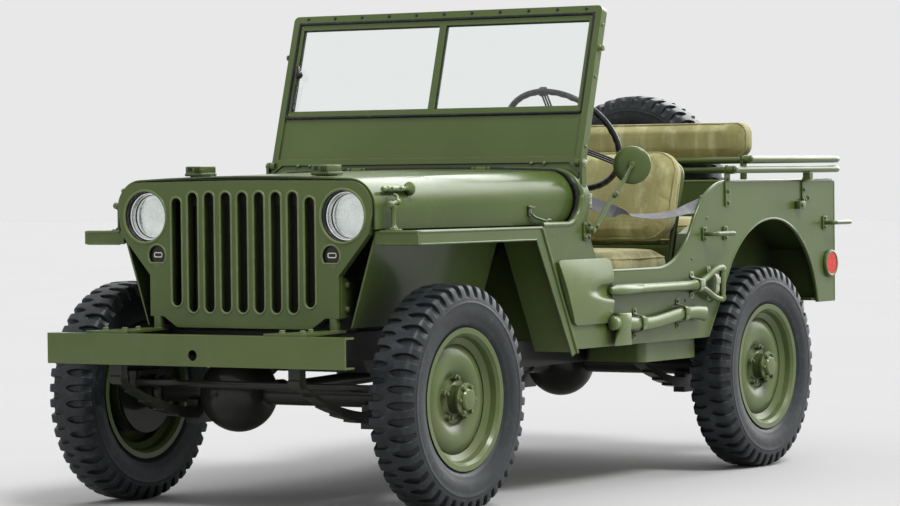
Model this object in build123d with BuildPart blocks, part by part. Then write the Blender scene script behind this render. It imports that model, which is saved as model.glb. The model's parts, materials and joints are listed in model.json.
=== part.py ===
from build123d import *
import math
import os

# Millimetres. The front faces -Y, the driver's side is +X, the ground is Z = 0.

# Wheels and axles
WHEELBASE = 2032.0
FRONT_AXLE_Y = -1186.0
REAR_AXLE_Y = FRONT_AXLE_Y + WHEELBASE
BODY_HALF = 640.0
WHEEL_X = BODY_HALF - 27.0
TYRE_RADIUS = 358.0
TYRE_WIDTH = 158.0
RIM_RADIUS = 0.62 * TYRE_RADIUS
BEAD_RADIUS = RIM_RADIUS - 19.0
WELL_RADIUS = RIM_RADIUS - 50.0
RIM_HALF = TYRE_WIDTH / 2 - 15.0
DRUM_RADIUS = WELL_RADIUS - 36.0
BACKPLATE = WELL_RADIUS - 34.0
LUGS = 23
LUG_HEIGHT = 13.0
KINGPIN_INSET = 110.0
KINGPIN_X = WHEEL_X - KINGPIN_INSET
STEER_ARM = 165.0
SPINDLE_RADIUS = 17.0
RUN_GAP = 0.3

# Frame
RAIL_OUT = BODY_HALF - 275.0
RAIL_WIDTH = 45.0
RAIL_DEPTH = 90.0
RAIL_WALL = 6.0
RAIL_TOP_FRONT = TYRE_RADIUS + 210.0
SPRING_X = RAIL_OUT - 25.0
SPRING_WIDTH = 44.0
DIFF_X = 157.0 - SPRING_X
DIFF_RADIUS = 125.0
DIFF_NOSE = 190.0
BUMPER_HALF = BODY_HALF - 75.0
BUMPER_HEIGHT = 96.0
BUMPER_DEPTH = 50.0
FRONT_OVERHANG = 497.0
BUMPER_FRONT = FRONT_AXLE_Y - FRONT_OVERHANG

# Body
WALL = 14.0
SHEET = 5.0
FLOOR_SHEET = 8.0
INNER_HALF = BODY_HALF - WALL
FLOOR = RAIL_TOP_FRONT - 63.0
REAR_FLOOR = FLOOR + 80.0
SILL_BASE = FLOOR - 27.0
SILL_TOP = FLOOR + 220.0
TUB_BASE = FLOOR + 65.0
TUB_TOP = FLOOR + 512.0
REAR_OVERHANG = 619.0
TUB_REAR = REAR_AXLE_Y + REAR_OVERHANG
FENDER_TOP = RAIL_TOP_FRONT + 314.0
FENDER_LIP = 42.0
GRILLE_Y = FRONT_AXLE_Y - 227.0
GRILLE_DEPTH = 26.0
GRILLE_TOP = FENDER_TOP + 159.0
HOOD_FRONT = GRILLE_Y + 8.0
HOOD_REAR = FRONT_AXLE_Y + 791.0
HOOD_REAR_HALF = BODY_HALF - 34.0
HOOD_FRONT_HALF = HOOD_REAR_HALF - 110.0
HOOD_FRONT_TOP = GRILLE_TOP + 14.0
HOOD_REAR_TOP = HOOD_FRONT_TOP + 17.0
HOOD_BASE = FENDER_TOP + 5.0
GRILLE_HALF = HOOD_FRONT_HALF - 10.0
SHOULDER = 95.0
CROWN = 10.0
COWL_TOP = HOOD_REAR_TOP + 3.0
COWL_FRONT = HOOD_REAR + 5.0
COWL_DEPTH = 40.0
COWL_BASE = COWL_TOP - CROWN - SHOULDER - 6.0

# Windshield
SCREEN_TILT = 16.5
SCREEN_HALF = BODY_HALF - 20.0
SCREEN_HEIGHT = 544.0
SCREEN_DEPTH = 34.0
SCREEN_PIVOT_Y = HOOD_REAR + 22.0
SCREEN_PIVOT_Z = COWL_TOP + 12.0
GLASS_BASE = 197.0
GLASS_TOP = SCREEN_HEIGHT - 50.0
GLASS_HALF = SCREEN_HALF - 45.0
DIVIDER = 26.0

# Seats
SEAT_X = 0.547 * BODY_HALF
SEAT_HALF = 0.347 * BODY_HALF
SEAT_FRONT = HOOD_REAR + 300.0
SEAT_BACK = SEAT_FRONT + 500.0
SEAT_PAN = REAR_FLOOR + 105.0
SEAT_TOP = SEAT_PAN + 422.0
CUSHION = 92.0
WELL_INNER = BODY_HALF - 204.0
BENCH_HALF = WELL_INNER - 26.0
BENCH_BACK = REAR_AXLE_Y + 372.0
BENCH_DEPTH = 400.0
BENCH_PAN = REAR_FLOOR + 205.0
BENCH_TOP = BENCH_PAN + 432.0
BENCH_CUSHION = 90.0

# Steering wheel and column
STEER_WHEEL_RADIUS = 208.0
COLUMN_TILT = 38.0
STEER_CENTRE = (SEAT_X - 10.0, HOOD_REAR + 385.0, COWL_TOP + 90.0)

# Top bows
BOW_X = BODY_HALF + 20.0
BOW_RADIUS = 12.5
BOW_PIVOT_Y = REAR_AXLE_Y - 241.0
BOW_PIVOT_Z = TUB_TOP + 43.0
BOW_BACK = TUB_REAR + 33.0
FRONT_BOW_Y = BOW_PIVOT_Y + 130.0
FRONT_BOW_Z = BOW_PIVOT_Z + 36.0

# Spare wheel
SPARE_X = TYRE_RADIUS + 9.0 - BODY_HALF
SPARE_Y = BOW_BACK + BOW_RADIUS + 15.0 + TYRE_WIDTH / 2
SPARE_Z = TUB_TOP - 23.0

os.makedirs("parts", exist_ok=True)


def save(shape, label):
    shape.label = label
    export_step(shape, f"parts/{label}.step")


def cross_plane(y):
    return Plane(origin=(0, y, 0), x_dir=(1, 0, 0), z_dir=(0, -1, 0))


def side_plane(x):
    return Plane(origin=(x, 0, 0), x_dir=(0, 1, 0), z_dir=(1, 0, 0))


def wheel_plane(side, y):
    return Plane(origin=(side * WHEEL_X, y, TYRE_RADIUS), x_dir=(side, 0, 0), z_dir=(0, -side, 0))


SPARE_PLANE = Plane(origin=(SPARE_X, SPARE_Y, SPARE_Z), x_dir=(0, 1, 0), z_dir=(1, 0, 0))


# Bar-lug tyre about its own axis: a faceted casing with lugs staggered on the two halves of the tread
TREAD_HALF = TYRE_WIDTH / 2 - 15.0
LUG_PITCH = 2 * math.pi / LUGS
LUG_CORNERS = (
    # height above the groove, angle as a share of the pitch
    (0.0, -0.29),
    (LUG_HEIGHT, -0.23),
    (LUG_HEIGHT, 0.23),
    (0.0, 0.29),
)
CASING = (
    # distance from the middle plane, radius
    (-TYRE_WIDTH / 2, (RIM_RADIUS + TYRE_RADIUS) / 2 - 4),
    (-TREAD_HALF, TYRE_RADIUS - 40),
    (TREAD_HALF, TYRE_RADIUS - 40),
    (TYRE_WIDTH / 2, (RIM_RADIUS + TYRE_RADIUS) / 2 - 4),
)
with BuildPart() as lug_tyre:
    for across, radius in CASING:
        with BuildSketch(Plane.XY.offset(across)):
            RegularPolygon(radius, LUGS, major_radius=False)
    loft(ruled=True)
    for side in (-1, 1):
        outline = []
        for number in range(LUGS):
            for height, share in LUG_CORNERS:
                turn = (number + share + (0.5 if side < 0 else 0.0)) * LUG_PITCH
                reach = (TYRE_RADIUS - LUG_HEIGHT + height) / math.cos(share * LUG_PITCH)
                outline.append((reach * math.cos(turn), reach * math.sin(turn)))
        with BuildSketch(Plane.XY):
            with BuildLine():
                Polyline(*outline, close=True)
            make_face()
        extrude(amount=side * TREAD_HALF)
        for across, radius in ((RIM_HALF - 7, RIM_RADIUS + 4), CASING[-1]):
            with BuildSketch(Plane.XY.offset(side * across)):
                RegularPolygon(radius, LUGS, major_radius=False)
        loft(ruled=True, mode=Mode.SUBTRACT)
    with BuildSketch(Plane.XY.offset(-TYRE_WIDTH / 2)):
        RegularPolygon(BEAD_RADIUS + RUN_GAP, LUGS, major_radius=False)
    extrude(amount=TYRE_WIDTH, mode=Mode.SUBTRACT)


def tyre_solid(plane):
    axle = Plane(origin=plane.origin, x_dir=plane.y_dir, z_dir=plane.x_dir)
    return lug_tyre.part.moved(axle.location)


def rim_solid(plane, with_hub):
    spin = Axis(plane.origin, plane.x_dir)
    with BuildPart() as rim:
        with BuildSketch(plane):
            with BuildLine():
                Polyline(
                    (-RIM_HALF, RIM_RADIUS),
                    (-RIM_HALF + 6, RIM_RADIUS),
                    (-RIM_HALF + 6, BEAD_RADIUS),
                    (RIM_HALF - 6, BEAD_RADIUS),
                    (RIM_HALF - 6, RIM_RADIUS),
                    (RIM_HALF, RIM_RADIUS),
                    (RIM_HALF - 1, RIM_RADIUS - 17),
                    (RIM_HALF - 11, BEAD_RADIUS - 7),
                    (34, BEAD_RADIUS - 12),
                    (22, WELL_RADIUS),
                    (-22, WELL_RADIUS),
                    (-34, BEAD_RADIUS - 12),
                    (-RIM_HALF + 11, BEAD_RADIUS - 7),
                    (-RIM_HALF + 1, RIM_RADIUS - 17),
                    close=True,
                )
            make_face()
        revolve(axis=spin)
        with BuildSketch(plane):
            with BuildLine():
                Line((14, WELL_RADIUS + 4), (4, WELL_RADIUS + 4))
                ThreePointArc((4, WELL_RADIUS + 4), (24, WELL_RADIUS - 50), (8, 74))
                Polyline((8, 74), (8, 46), (16, 46), (16, 74))
                ThreePointArc((16, 74), (34, WELL_RADIUS - 50), (14, WELL_RADIUS + 4))
            make_face()
        revolve(axis=spin)
        if with_hub:
            with BuildSketch(plane):
                with BuildLine():
                    Polyline(
                        (-46, SPINDLE_RADIUS + RUN_GAP),
                        (-46, DRUM_RADIUS),
                        (2, DRUM_RADIUS),
                        (8, DRUM_RADIUS - 8),
                        (8, 72),
                        (16, 60),
                        (24, 46),
                        (54, 44),
                        (56, 52),
                        (64, 52),
                        (66, 36),
                        (74, 34),
                        (76, 0),
                        (44, 0),
                        (44, SPINDLE_RADIUS + RUN_GAP),
                        close=True,
                    )
                make_face()
            revolve(axis=spin)
    return rim.part


WHEELS = (
    # name, side, axle position
    ("front_left", 1, FRONT_AXLE_Y),
    ("front_right", -1, FRONT_AXLE_Y),
    ("rear_left", 1, REAR_AXLE_Y),
    ("rear_right", -1, REAR_AXLE_Y),
)
for name, side, axle_y in WHEELS:
    save(tyre_solid(wheel_plane(side, axle_y)), f"tyre_{name}")
    save(rim_solid(wheel_plane(side, axle_y), True), f"rim_{name}")
save(tyre_solid(SPARE_PLANE), "spare_tyre")
save(rim_solid(SPARE_PLANE, False), "spare_rim")

# Ladder frame: two channel rails stepped down under the floor
RAIL_FRONT = BUMPER_FRONT + BUMPER_DEPTH
RAIL_BACK = TUB_REAR - WALL
MID_TOP = FLOOR - FLOOR_SHEET
BACK_TOP = REAR_FLOOR - FLOOR_SHEET
STEP_Y = REAR_AXLE_Y - 560.0
RAIL_LINE = (
    # station, top height
    (RAIL_FRONT, RAIL_TOP_FRONT),
    (HOOD_REAR - 305, RAIL_TOP_FRONT),
    (HOOD_REAR - 95, MID_TOP),
    (STEP_Y + 10, MID_TOP),
    (STEP_Y + 140, BACK_TOP),
    (RAIL_BACK, BACK_TOP),
)
with BuildPart() as frame_rails:
    with BuildSketch(side_plane(RAIL_OUT - RAIL_WIDTH)):
        with BuildLine():
            top_line = [(y, z) for y, z in RAIL_LINE]
            low_line = [(y, z - RAIL_DEPTH) for y, z in reversed(RAIL_LINE)]
            Polyline(*top_line, *low_line, close=True)
        make_face()
    extrude(amount=RAIL_WIDTH)
    with BuildSketch(side_plane(RAIL_OUT - RAIL_WIDTH)):
        with BuildLine():
            top_line = [(y, z - RAIL_WALL) for y, z in RAIL_LINE]
            low_line = [(y, z - RAIL_DEPTH + RAIL_WALL) for y, z in reversed(RAIL_LINE)]
            Polyline(*top_line, *low_line, close=True)
        make_face()
    extrude(amount=RAIL_WIDTH - RAIL_WALL, mode=Mode.SUBTRACT)
    mirror(about=Plane.YZ)
save(frame_rails.part, "frame_rails")

CROSSMEMBERS = (
    # station, width along the car, top, height
    (GRILLE_Y + 60, 70, RAIL_TOP_FRONT, 60),
    (STEP_Y - 270, 60, MID_TOP, 70),
    (REAR_AXLE_Y + 330, 60, BACK_TOP, 70),
    (RAIL_BACK - 50, 50, BACK_TOP, RAIL_DEPTH),
)
with BuildPart() as crossmembers:
    for y, width, top, height in CROSSMEMBERS:
        with BuildSketch(side_plane(-RAIL_OUT + RAIL_WIDTH)):
            with Locations((y + width / 2, top - height / 2)):
                Rectangle(width, height)
            with Locations((y + width / 2, top - height / 2 - RAIL_WALL)):
                Rectangle(width - 2 * RAIL_WALL, height, mode=Mode.SUBTRACT)
        extrude(amount=2 * (RAIL_OUT - RAIL_WIDTH))
save(crossmembers.part, "crossmembers")

# Front bumper channel with its two gusset plates and grille posts
GUSSET = 8.0
GRILLE_BASE = RAIL_TOP_FRONT + GUSSET + 2.0
POST_X = RAIL_OUT - 27.0
POST_TOP = GRILLE_BASE + 34.0
with BuildPart() as front_bumper:
    with BuildSketch(side_plane(-BUMPER_HALF)):
        with Locations((BUMPER_FRONT + BUMPER_DEPTH / 2, RAIL_TOP_FRONT - BUMPER_HEIGHT / 2)):
            Rectangle(BUMPER_DEPTH, BUMPER_HEIGHT)
        with Locations((BUMPER_FRONT + BUMPER_DEPTH / 2 + RAIL_WALL, RAIL_TOP_FRONT - BUMPER_HEIGHT / 2)):
            Rectangle(BUMPER_DEPTH, BUMPER_HEIGHT - 2 * RAIL_WALL, mode=Mode.SUBTRACT)
    extrude(amount=2 * BUMPER_HALF)
    with BuildSketch(cross_plane(BUMPER_FRONT)):
        with Locations((0, RAIL_TOP_FRONT - 62)):
            Circle(17)
    extrude(amount=-RAIL_WALL, mode=Mode.SUBTRACT)
    with BuildSketch(Plane.XY.offset(RAIL_TOP_FRONT)):
        with BuildLine():
            Polyline(
                (RAIL_OUT - 105, BUMPER_FRONT + 12),
                (RAIL_OUT + 55, BUMPER_FRONT + 12),
                (RAIL_OUT, GRILLE_Y + GRILLE_DEPTH + 10),
                (RAIL_OUT - RAIL_WIDTH, GRILLE_Y + GRILLE_DEPTH + 10),
                close=True,
            )
        make_face()
    extrude(amount=GUSSET)
    with BuildSketch(Plane.XY.offset(RAIL_TOP_FRONT + GUSSET)):
        with Locations((POST_X, GRILLE_Y + GRILLE_DEPTH / 2)):
            Circle(17)
    extrude(amount=POST_TOP - RAIL_TOP_FRONT - GUSSET)
    mirror(about=Plane.YZ)
save(front_bumper.part, "front_bumper")

# Rear bumperettes on the frame ends, and the tow loop on the last crossmember
with BuildPart() as rear_bumperettes:
    with BuildSketch(side_plane(RAIL_OUT - RAIL_WIDTH - 70)):
        with Locations((TUB_REAR + 30, BACK_TOP - RAIL_DEPTH + 36)):
            Rectangle(60, 92)
        with Locations((TUB_REAR + 30 - RAIL_WALL, BACK_TOP - RAIL_DEPTH + 36)):
            Rectangle(60, 80, mode=Mode.SUBTRACT)
    extrude(amount=230)
    fillet(rear_bumperettes.edges().filter_by(Axis.X).group_by(Axis.Y)[-1], radius=5)
    with BuildSketch(side_plane(RAIL_OUT - RAIL_WIDTH)):
        with Locations(((RAIL_BACK + TUB_REAR + 56) / 2, BACK_TOP - RAIL_DEPTH / 2 - 10)):
            Rectangle(TUB_REAR + 56 - RAIL_BACK, 50)
    extrude(amount=RAIL_WIDTH)
    mirror(about=Plane.YZ)
save(rear_bumperettes.part, "rear_bumperettes")

TOW_Z = BACK_TOP - 55.0
TOW_Y = RAIL_BACK + 90.0
with BuildPart() as tow_hook:
    with BuildSketch(cross_plane(RAIL_BACK)):
        with Locations((0, BACK_TOP - RAIL_DEPTH / 2 - 3)):
            RectangleRounded(110, 74, 10)
    extrude(amount=-10)
    with BuildSketch(cross_plane(RAIL_BACK + 10)):
        with Locations((0, TOW_Z)):
            Circle(19)
    extrude(amount=-45)
    with BuildSketch(Plane.XY.offset(TOW_Z - 18)):
        with Locations((0, TOW_Y)):
            Circle(43)
            Circle(23, mode=Mode.SUBTRACT)
    extrude(amount=36)
save(tow_hook.part, "tow_hook")

# Axles
BALL_RADIUS = 52.0
PAD_TOP = TYRE_RADIUS - 22.0
SPRING_TOP = TYRE_RADIUS - 46.0
PAD_GAP = 1.3


def axle_solid(y, nose, half, tube):
    with BuildPart() as axle:
        with BuildSketch(side_plane(-half)):
            with Locations((y, TYRE_RADIUS)):
                Circle(tube)
        extrude(amount=2 * half)
        with BuildSketch(Plane(origin=(DIFF_X, y, TYRE_RADIUS), x_dir=(0, 1, 0), z_dir=(1, 0, 0))):
            with BuildLine():
                Line((-DIFF_RADIUS, 0), (DIFF_RADIUS, 0))
                ThreePointArc((DIFF_RADIUS, 0), (0, DIFF_RADIUS), (-DIFF_RADIUS, 0))
            make_face()
        revolve(axis=Axis((DIFF_X, y, TYRE_RADIUS), (0, 1, 0)))
        with BuildSketch(cross_plane(y)):
            with Locations((DIFF_X, TYRE_RADIUS)):
                Circle(52)
        extrude(amount=-nose * DIFF_NOSE, taper=6)
        for pad_x in (-SPRING_X, SPRING_X):
            with BuildSketch(side_plane(pad_x - SPRING_WIDTH / 2)):
                with Locations((y, (PAD_TOP + SPRING_TOP + PAD_GAP) / 2)):
                    Rectangle(84, PAD_TOP - SPRING_TOP - PAD_GAP)
            extrude(amount=SPRING_WIDTH)
    return axle.part


front_beam = axle_solid(FRONT_AXLE_Y, 1, KINGPIN_X - 20, 34)
with BuildPart() as front_axle:
    add(front_beam)
    with Locations((KINGPIN_X, FRONT_AXLE_Y, TYRE_RADIUS), (-KINGPIN_X, FRONT_AXLE_Y, TYRE_RADIUS)):
        Sphere(BALL_RADIUS)
save(front_axle.part, "front_axle")

rear_beam = axle_solid(REAR_AXLE_Y, -1, WHEEL_X - 56, 36)
with BuildPart() as rear_axle:
    add(rear_beam)
    for side in (-1, 1):
        with BuildSketch(wheel_plane(side, REAR_AXLE_Y)):
            with BuildLine():
                Polyline(
                    (-60, 0),
                    (-60, BACKPLATE),
                    (-52, BACKPLATE),
                    (-52, 30),
                    (-48, SPINDLE_RADIUS),
                    (40, SPINDLE_RADIUS),
                    (40, 0),
                    close=True,
                )
            make_face()
        revolve(axis=Axis((side * WHEEL_X, REAR_AXLE_Y, TYRE_RADIUS), (1, 0, 0)))
save(rear_axle.part, "rear_axle")

# Steering knuckles: a cup round the axle ball, a spindle, a backing plate and a forward arm
CUP_RADIUS = 66.0
ARM_INSET = 20.0
ARM_BASE = TYRE_RADIUS + 56.0
ARM_HEIGHT = 18.0


def knuckle_solid(side):
    arm_end = (side * (KINGPIN_X - ARM_INSET), FRONT_AXLE_Y - STEER_ARM)
    cup_in = BALL_RADIUS + 0.5
    lip = -KINGPIN_INSET - 15
    lip_in = math.sqrt(cup_in ** 2 - 15 ** 2)
    lip_out = math.sqrt(CUP_RADIUS ** 2 - 15 ** 2)
    plate_reach = math.sqrt(CUP_RADIUS ** 2 - (KINGPIN_INSET - 60) ** 2)
    with BuildPart() as knuckle:
        with BuildSketch(wheel_plane(side, FRONT_AXLE_Y)):
            with BuildLine():
                ThreePointArc((lip, lip_out), (-KINGPIN_INSET, CUP_RADIUS), (-60, plate_reach))
                Polyline(
                    (-60, plate_reach),
                    (-60, BACKPLATE),
                    (-52, BACKPLATE),
                    (-52, 30),
                    (-48, SPINDLE_RADIUS),
                    (40, SPINDLE_RADIUS),
                    (40, 0),
                    (cup_in - KINGPIN_INSET, 0),
                )
                ThreePointArc((cup_in - KINGPIN_INSET, 0), (-KINGPIN_INSET, cup_in), (lip, lip_in))
                Line((lip, lip_in), (lip, lip_out))
            make_face()
        revolve(axis=Axis((0, FRONT_AXLE_Y, TYRE_RADIUS), (1, 0, 0)))
        with BuildSketch(Plane.XY.offset(ARM_BASE)):
            with BuildLine():
                Polyline(
                    (side * (KINGPIN_X - 12), FRONT_AXLE_Y + 20),
                    (side * (KINGPIN_X + 24), FRONT_AXLE_Y + 20),
                    (arm_end[0] + side * 15, arm_end[1]),
                    (arm_end[0] - side * 15, arm_end[1]),
                    close=True,
                )
            make_face()
            with Locations(arm_end):
                Circle(23)
        extrude(amount=ARM_HEIGHT)
    return knuckle.part


save(knuckle_solid(1), "knuckle_left")
save(knuckle_solid(-1), "knuckle_right")

ROD_Z = TYRE_RADIUS + 37.0
ROD_HALF = KINGPIN_X - ARM_INSET
ROD_Y = FRONT_AXLE_Y - STEER_ARM
with BuildPart() as tie_rod:
    with BuildSketch(side_plane(-ROD_HALF)):
        with Locations((ROD_Y, ROD_Z)):
            Circle(12)
    extrude(amount=2 * ROD_HALF)
    with BuildSketch(Plane.XY.offset(ROD_Z - 17)):
        with Locations((ROD_HALF, ROD_Y), (-ROD_HALF, ROD_Y)):
            Circle(19)
    extrude(amount=ARM_BASE - 0.5 - ROD_Z + 17)
save(tie_rod.part, "tie_rod")

# Leaf springs under both axles, hung from the rails
LEAF = 7.0
SPRING_RISE = 112.0
LEAVES = (
    # half length, leaf number from the top
    (1.0, 0),
    (0.86, 1),
    (0.70, 2),
    (0.52, 3),
    (0.34, 4),
)
SPRINGS = (
    # axle position, half length, rail bottom over it
    (FRONT_AXLE_Y, 425.0, RAIL_TOP_FRONT - RAIL_DEPTH),
    (REAR_AXLE_Y, 400.0, BACK_TOP - RAIL_DEPTH),
)
with BuildPart() as leaf_springs:
    for axle_y, half, rail_low in SPRINGS:
        arc_radius = (half ** 2 + SPRING_RISE ** 2) / (2 * SPRING_RISE)
        centre_z = SPRING_TOP + arc_radius
        with BuildSketch(side_plane(SPRING_X - SPRING_WIDTH / 2)):
            for share, number in LEAVES:
                inner = arc_radius + number * LEAF
                outer = inner + LEAF
                turn = math.asin(share * half / inner)
                near = (inner * math.sin(turn), centre_z - inner * math.cos(turn))
                far = (outer * math.sin(turn), centre_z - outer * math.cos(turn))
                with BuildLine():
                    ThreePointArc(
                        (axle_y - near[0], near[1]),
                        (axle_y, centre_z - inner),
                        (axle_y + near[0], near[1]),
                    )
                    Line((axle_y + near[0], near[1]), (axle_y + far[0], far[1]))
                    ThreePointArc(
                        (axle_y + far[0], far[1]),
                        (axle_y, centre_z - outer),
                        (axle_y - far[0], far[1]),
                    )
                    Line((axle_y - far[0], far[1]), (axle_y - near[0], near[1]))
                make_face()
            eye_z = SPRING_TOP + SPRING_RISE
            with Locations((axle_y - half, eye_z), (axle_y + half, eye_z)):
                Circle(19)
            with Locations((axle_y - half, (eye_z + rail_low) / 2), (axle_y + half, (eye_z + rail_low) / 2)):
                Rectangle(30, rail_low - eye_z)
            with Locations((axle_y, SPRING_TOP - len(LEAVES) * LEAF - 8)):
                Rectangle(96, 18)
        extrude(amount=SPRING_WIDTH)
    mirror(about=Plane.YZ)
save(leaf_springs.part, "leaf_springs")

# Engine, gearbox and drive shafts
FIREWALL = COWL_FRONT + 4.0
ENGINE_BACK = HOOD_REAR - 225.0
ENGINE_LENGTH = 430.0
ENGINE_FRONT = ENGINE_BACK - ENGINE_LENGTH
ENGINE_HALF = 0.507 * RAIL_OUT
ENGINE_TOP = FENDER_TOP + 18.0
SUMP = RAIL_TOP_FRONT - 148.0
with BuildPart() as engine:
    with BuildSketch(side_plane(-ENGINE_HALF)):
        with BuildLine():
            Polyline(
                (ENGINE_FRONT, SUMP + 80),
                (ENGINE_FRONT + 60, SUMP),
                (ENGINE_BACK, SUMP),
                (ENGINE_BACK, ENGINE_TOP),
                (ENGINE_FRONT + 20, ENGINE_TOP),
                (ENGINE_FRONT, ENGINE_TOP - 20),
                close=True,
            )
        make_face()
    extrude(amount=2 * ENGINE_HALF)
    with BuildSketch(side_plane(-RAIL_OUT + RAIL_WALL)):
        with Locations((ENGINE_FRONT + 80, RAIL_TOP_FRONT - 45)):
            Rectangle(60, 26)
    extrude(amount=2 * (RAIL_OUT - RAIL_WALL))
save(engine.part, "engine")

GEARBOX_HALF = 0.274 * RAIL_OUT
TRANSFER_X = -0.411 * RAIL_OUT
TRANSFER_BACK = FIREWALL + 270.0
with BuildPart() as gearbox:
    with BuildSketch(cross_plane(ENGINE_BACK)):
        with Locations((0, RAIL_TOP_FRONT + 22)):
            Circle(ENGINE_HALF - 20)
    with BuildSketch(cross_plane(FIREWALL - 12)):
        with Locations((0, MID_TOP - 67)):
            Circle(GEARBOX_HALF - 5)
    loft()
    with BuildSketch(side_plane(-GEARBOX_HALF)):
        with BuildLine():
            Polyline(
                (FIREWALL - 40, MID_TOP - 147),
                (FIREWALL + 150, MID_TOP - 157),
                (FIREWALL + 150, MID_TOP - 8),
                (FIREWALL - 40, MID_TOP - 8),
                close=True,
            )
        make_face()
    extrude(amount=2 * GEARBOX_HALF)
    with BuildSketch(side_plane(TRANSFER_X - 75)):
        with BuildLine():
            Polyline(
                (FIREWALL + 80, MID_TOP - 167),
                (TRANSFER_BACK - 30, MID_TOP - 187),
                (TRANSFER_BACK, MID_TOP - 117),
                (TRANSFER_BACK, MID_TOP),
                (FIREWALL + 80, MID_TOP),
                close=True,
            )
        make_face()
    extrude(amount=250)
save(gearbox.part, "gearbox")

SHAFTS = (
    # gearbox end, axle end, direction of travel along the car
    ((TRANSFER_X, FIREWALL + 80, MID_TOP - 117), (DIFF_X, FRONT_AXLE_Y + DIFF_NOSE, TYRE_RADIUS), -1),
    ((TRANSFER_X, TRANSFER_BACK, MID_TOP - 87), (DIFF_X, REAR_AXLE_Y - DIFF_NOSE, TYRE_RADIUS), 1),
)
YOKE = 52.0
with BuildPart() as drive_shafts:
    for start, end, heading in SHAFTS:
        for point, run in ((start, heading), (end, -heading)):
            with BuildSketch(cross_plane(point[1])):
                with Locations((point[0], point[2])):
                    Circle(32)
            extrude(amount=-run * YOKE)
        near = Vector(start[0], start[1] + heading * YOKE * 0.7, start[2])
        far = Vector(end[0], end[1] - heading * YOKE * 0.7, end[2])
        with BuildSketch(Plane(origin=near, z_dir=far - near)):
            Circle(23)
        extrude(amount=(far - near).length)
save(drive_shafts.part, "drive_shafts")

MUFFLER_X = -RAIL_OUT - 115.0
PIPE_X = -0.72 * RAIL_OUT
PIPE_Z = RAIL_TOP_FRONT + 72.0
MUFFLER_RADIUS = 62.0
MUFFLER_Z = MID_TOP - MUFFLER_RADIUS - RUN_GAP
with BuildPart() as exhaust:
    with BuildLine() as pipe:
        FilletPolyline(
            (-ENGINE_HALF - 0.5, ENGINE_FRONT + 250, PIPE_Z),
            (PIPE_X, ENGINE_FRONT + 250, PIPE_Z),
            (PIPE_X, ENGINE_BACK + 60, PIPE_Z),
            (PIPE_X, ENGINE_BACK + 150, MID_TOP - 127),
            (MUFFLER_X, STEP_Y - 420, MID_TOP - 117),
            (MUFFLER_X, STEP_Y - 280, MUFFLER_Z),
            radius=45,
        )
    with BuildSketch(Plane(origin=pipe.line @ 0, z_dir=pipe.line % 0)):
        Circle(21)
    sweep()
    with BuildSketch(cross_plane(STEP_Y - 290)):
        with Locations((MUFFLER_X, MUFFLER_Z)):
            Circle(MUFFLER_RADIUS)
    extrude(amount=-270)
    with BuildLine() as tail:
        FilletPolyline(
            (MUFFLER_X, STEP_Y - 30, MUFFLER_Z),
            (MUFFLER_X, STEP_Y + 90, MUFFLER_Z),
            (-BODY_HALF + 8, STEP_Y + 120, MUFFLER_Z - 20),
            radius=45,
        )
    with BuildSketch(Plane(origin=tail.line @ 0, z_dir=tail.line % 0)):
        Circle(19)
    sweep()
save(exhaust.part, "exhaust")

# Radiator behind the slotted grille
RADIATOR_Y = GRILLE_Y + 68.0
RADIATOR_TOP = GRILLE_TOP - 36.0
RADIATOR_HALF = RAIL_OUT - 95.0
with BuildPart() as radiator:
    with BuildSketch(cross_plane(RADIATOR_Y)):
        with Locations((0, (RAIL_TOP_FRONT + RADIATOR_TOP) / 2)):
            Rectangle(2 * RADIATOR_HALF, RADIATOR_TOP - RAIL_TOP_FRONT)
    extrude(amount=-54)
    with BuildSketch(cross_plane(RADIATOR_Y)):
        with Locations((0, RADIATOR_TOP - 205)):
            Rectangle(2 * RADIATOR_HALF - 60, 320)
    extrude(amount=-8, mode=Mode.SUBTRACT)
save(radiator.part, "radiator")

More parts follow.
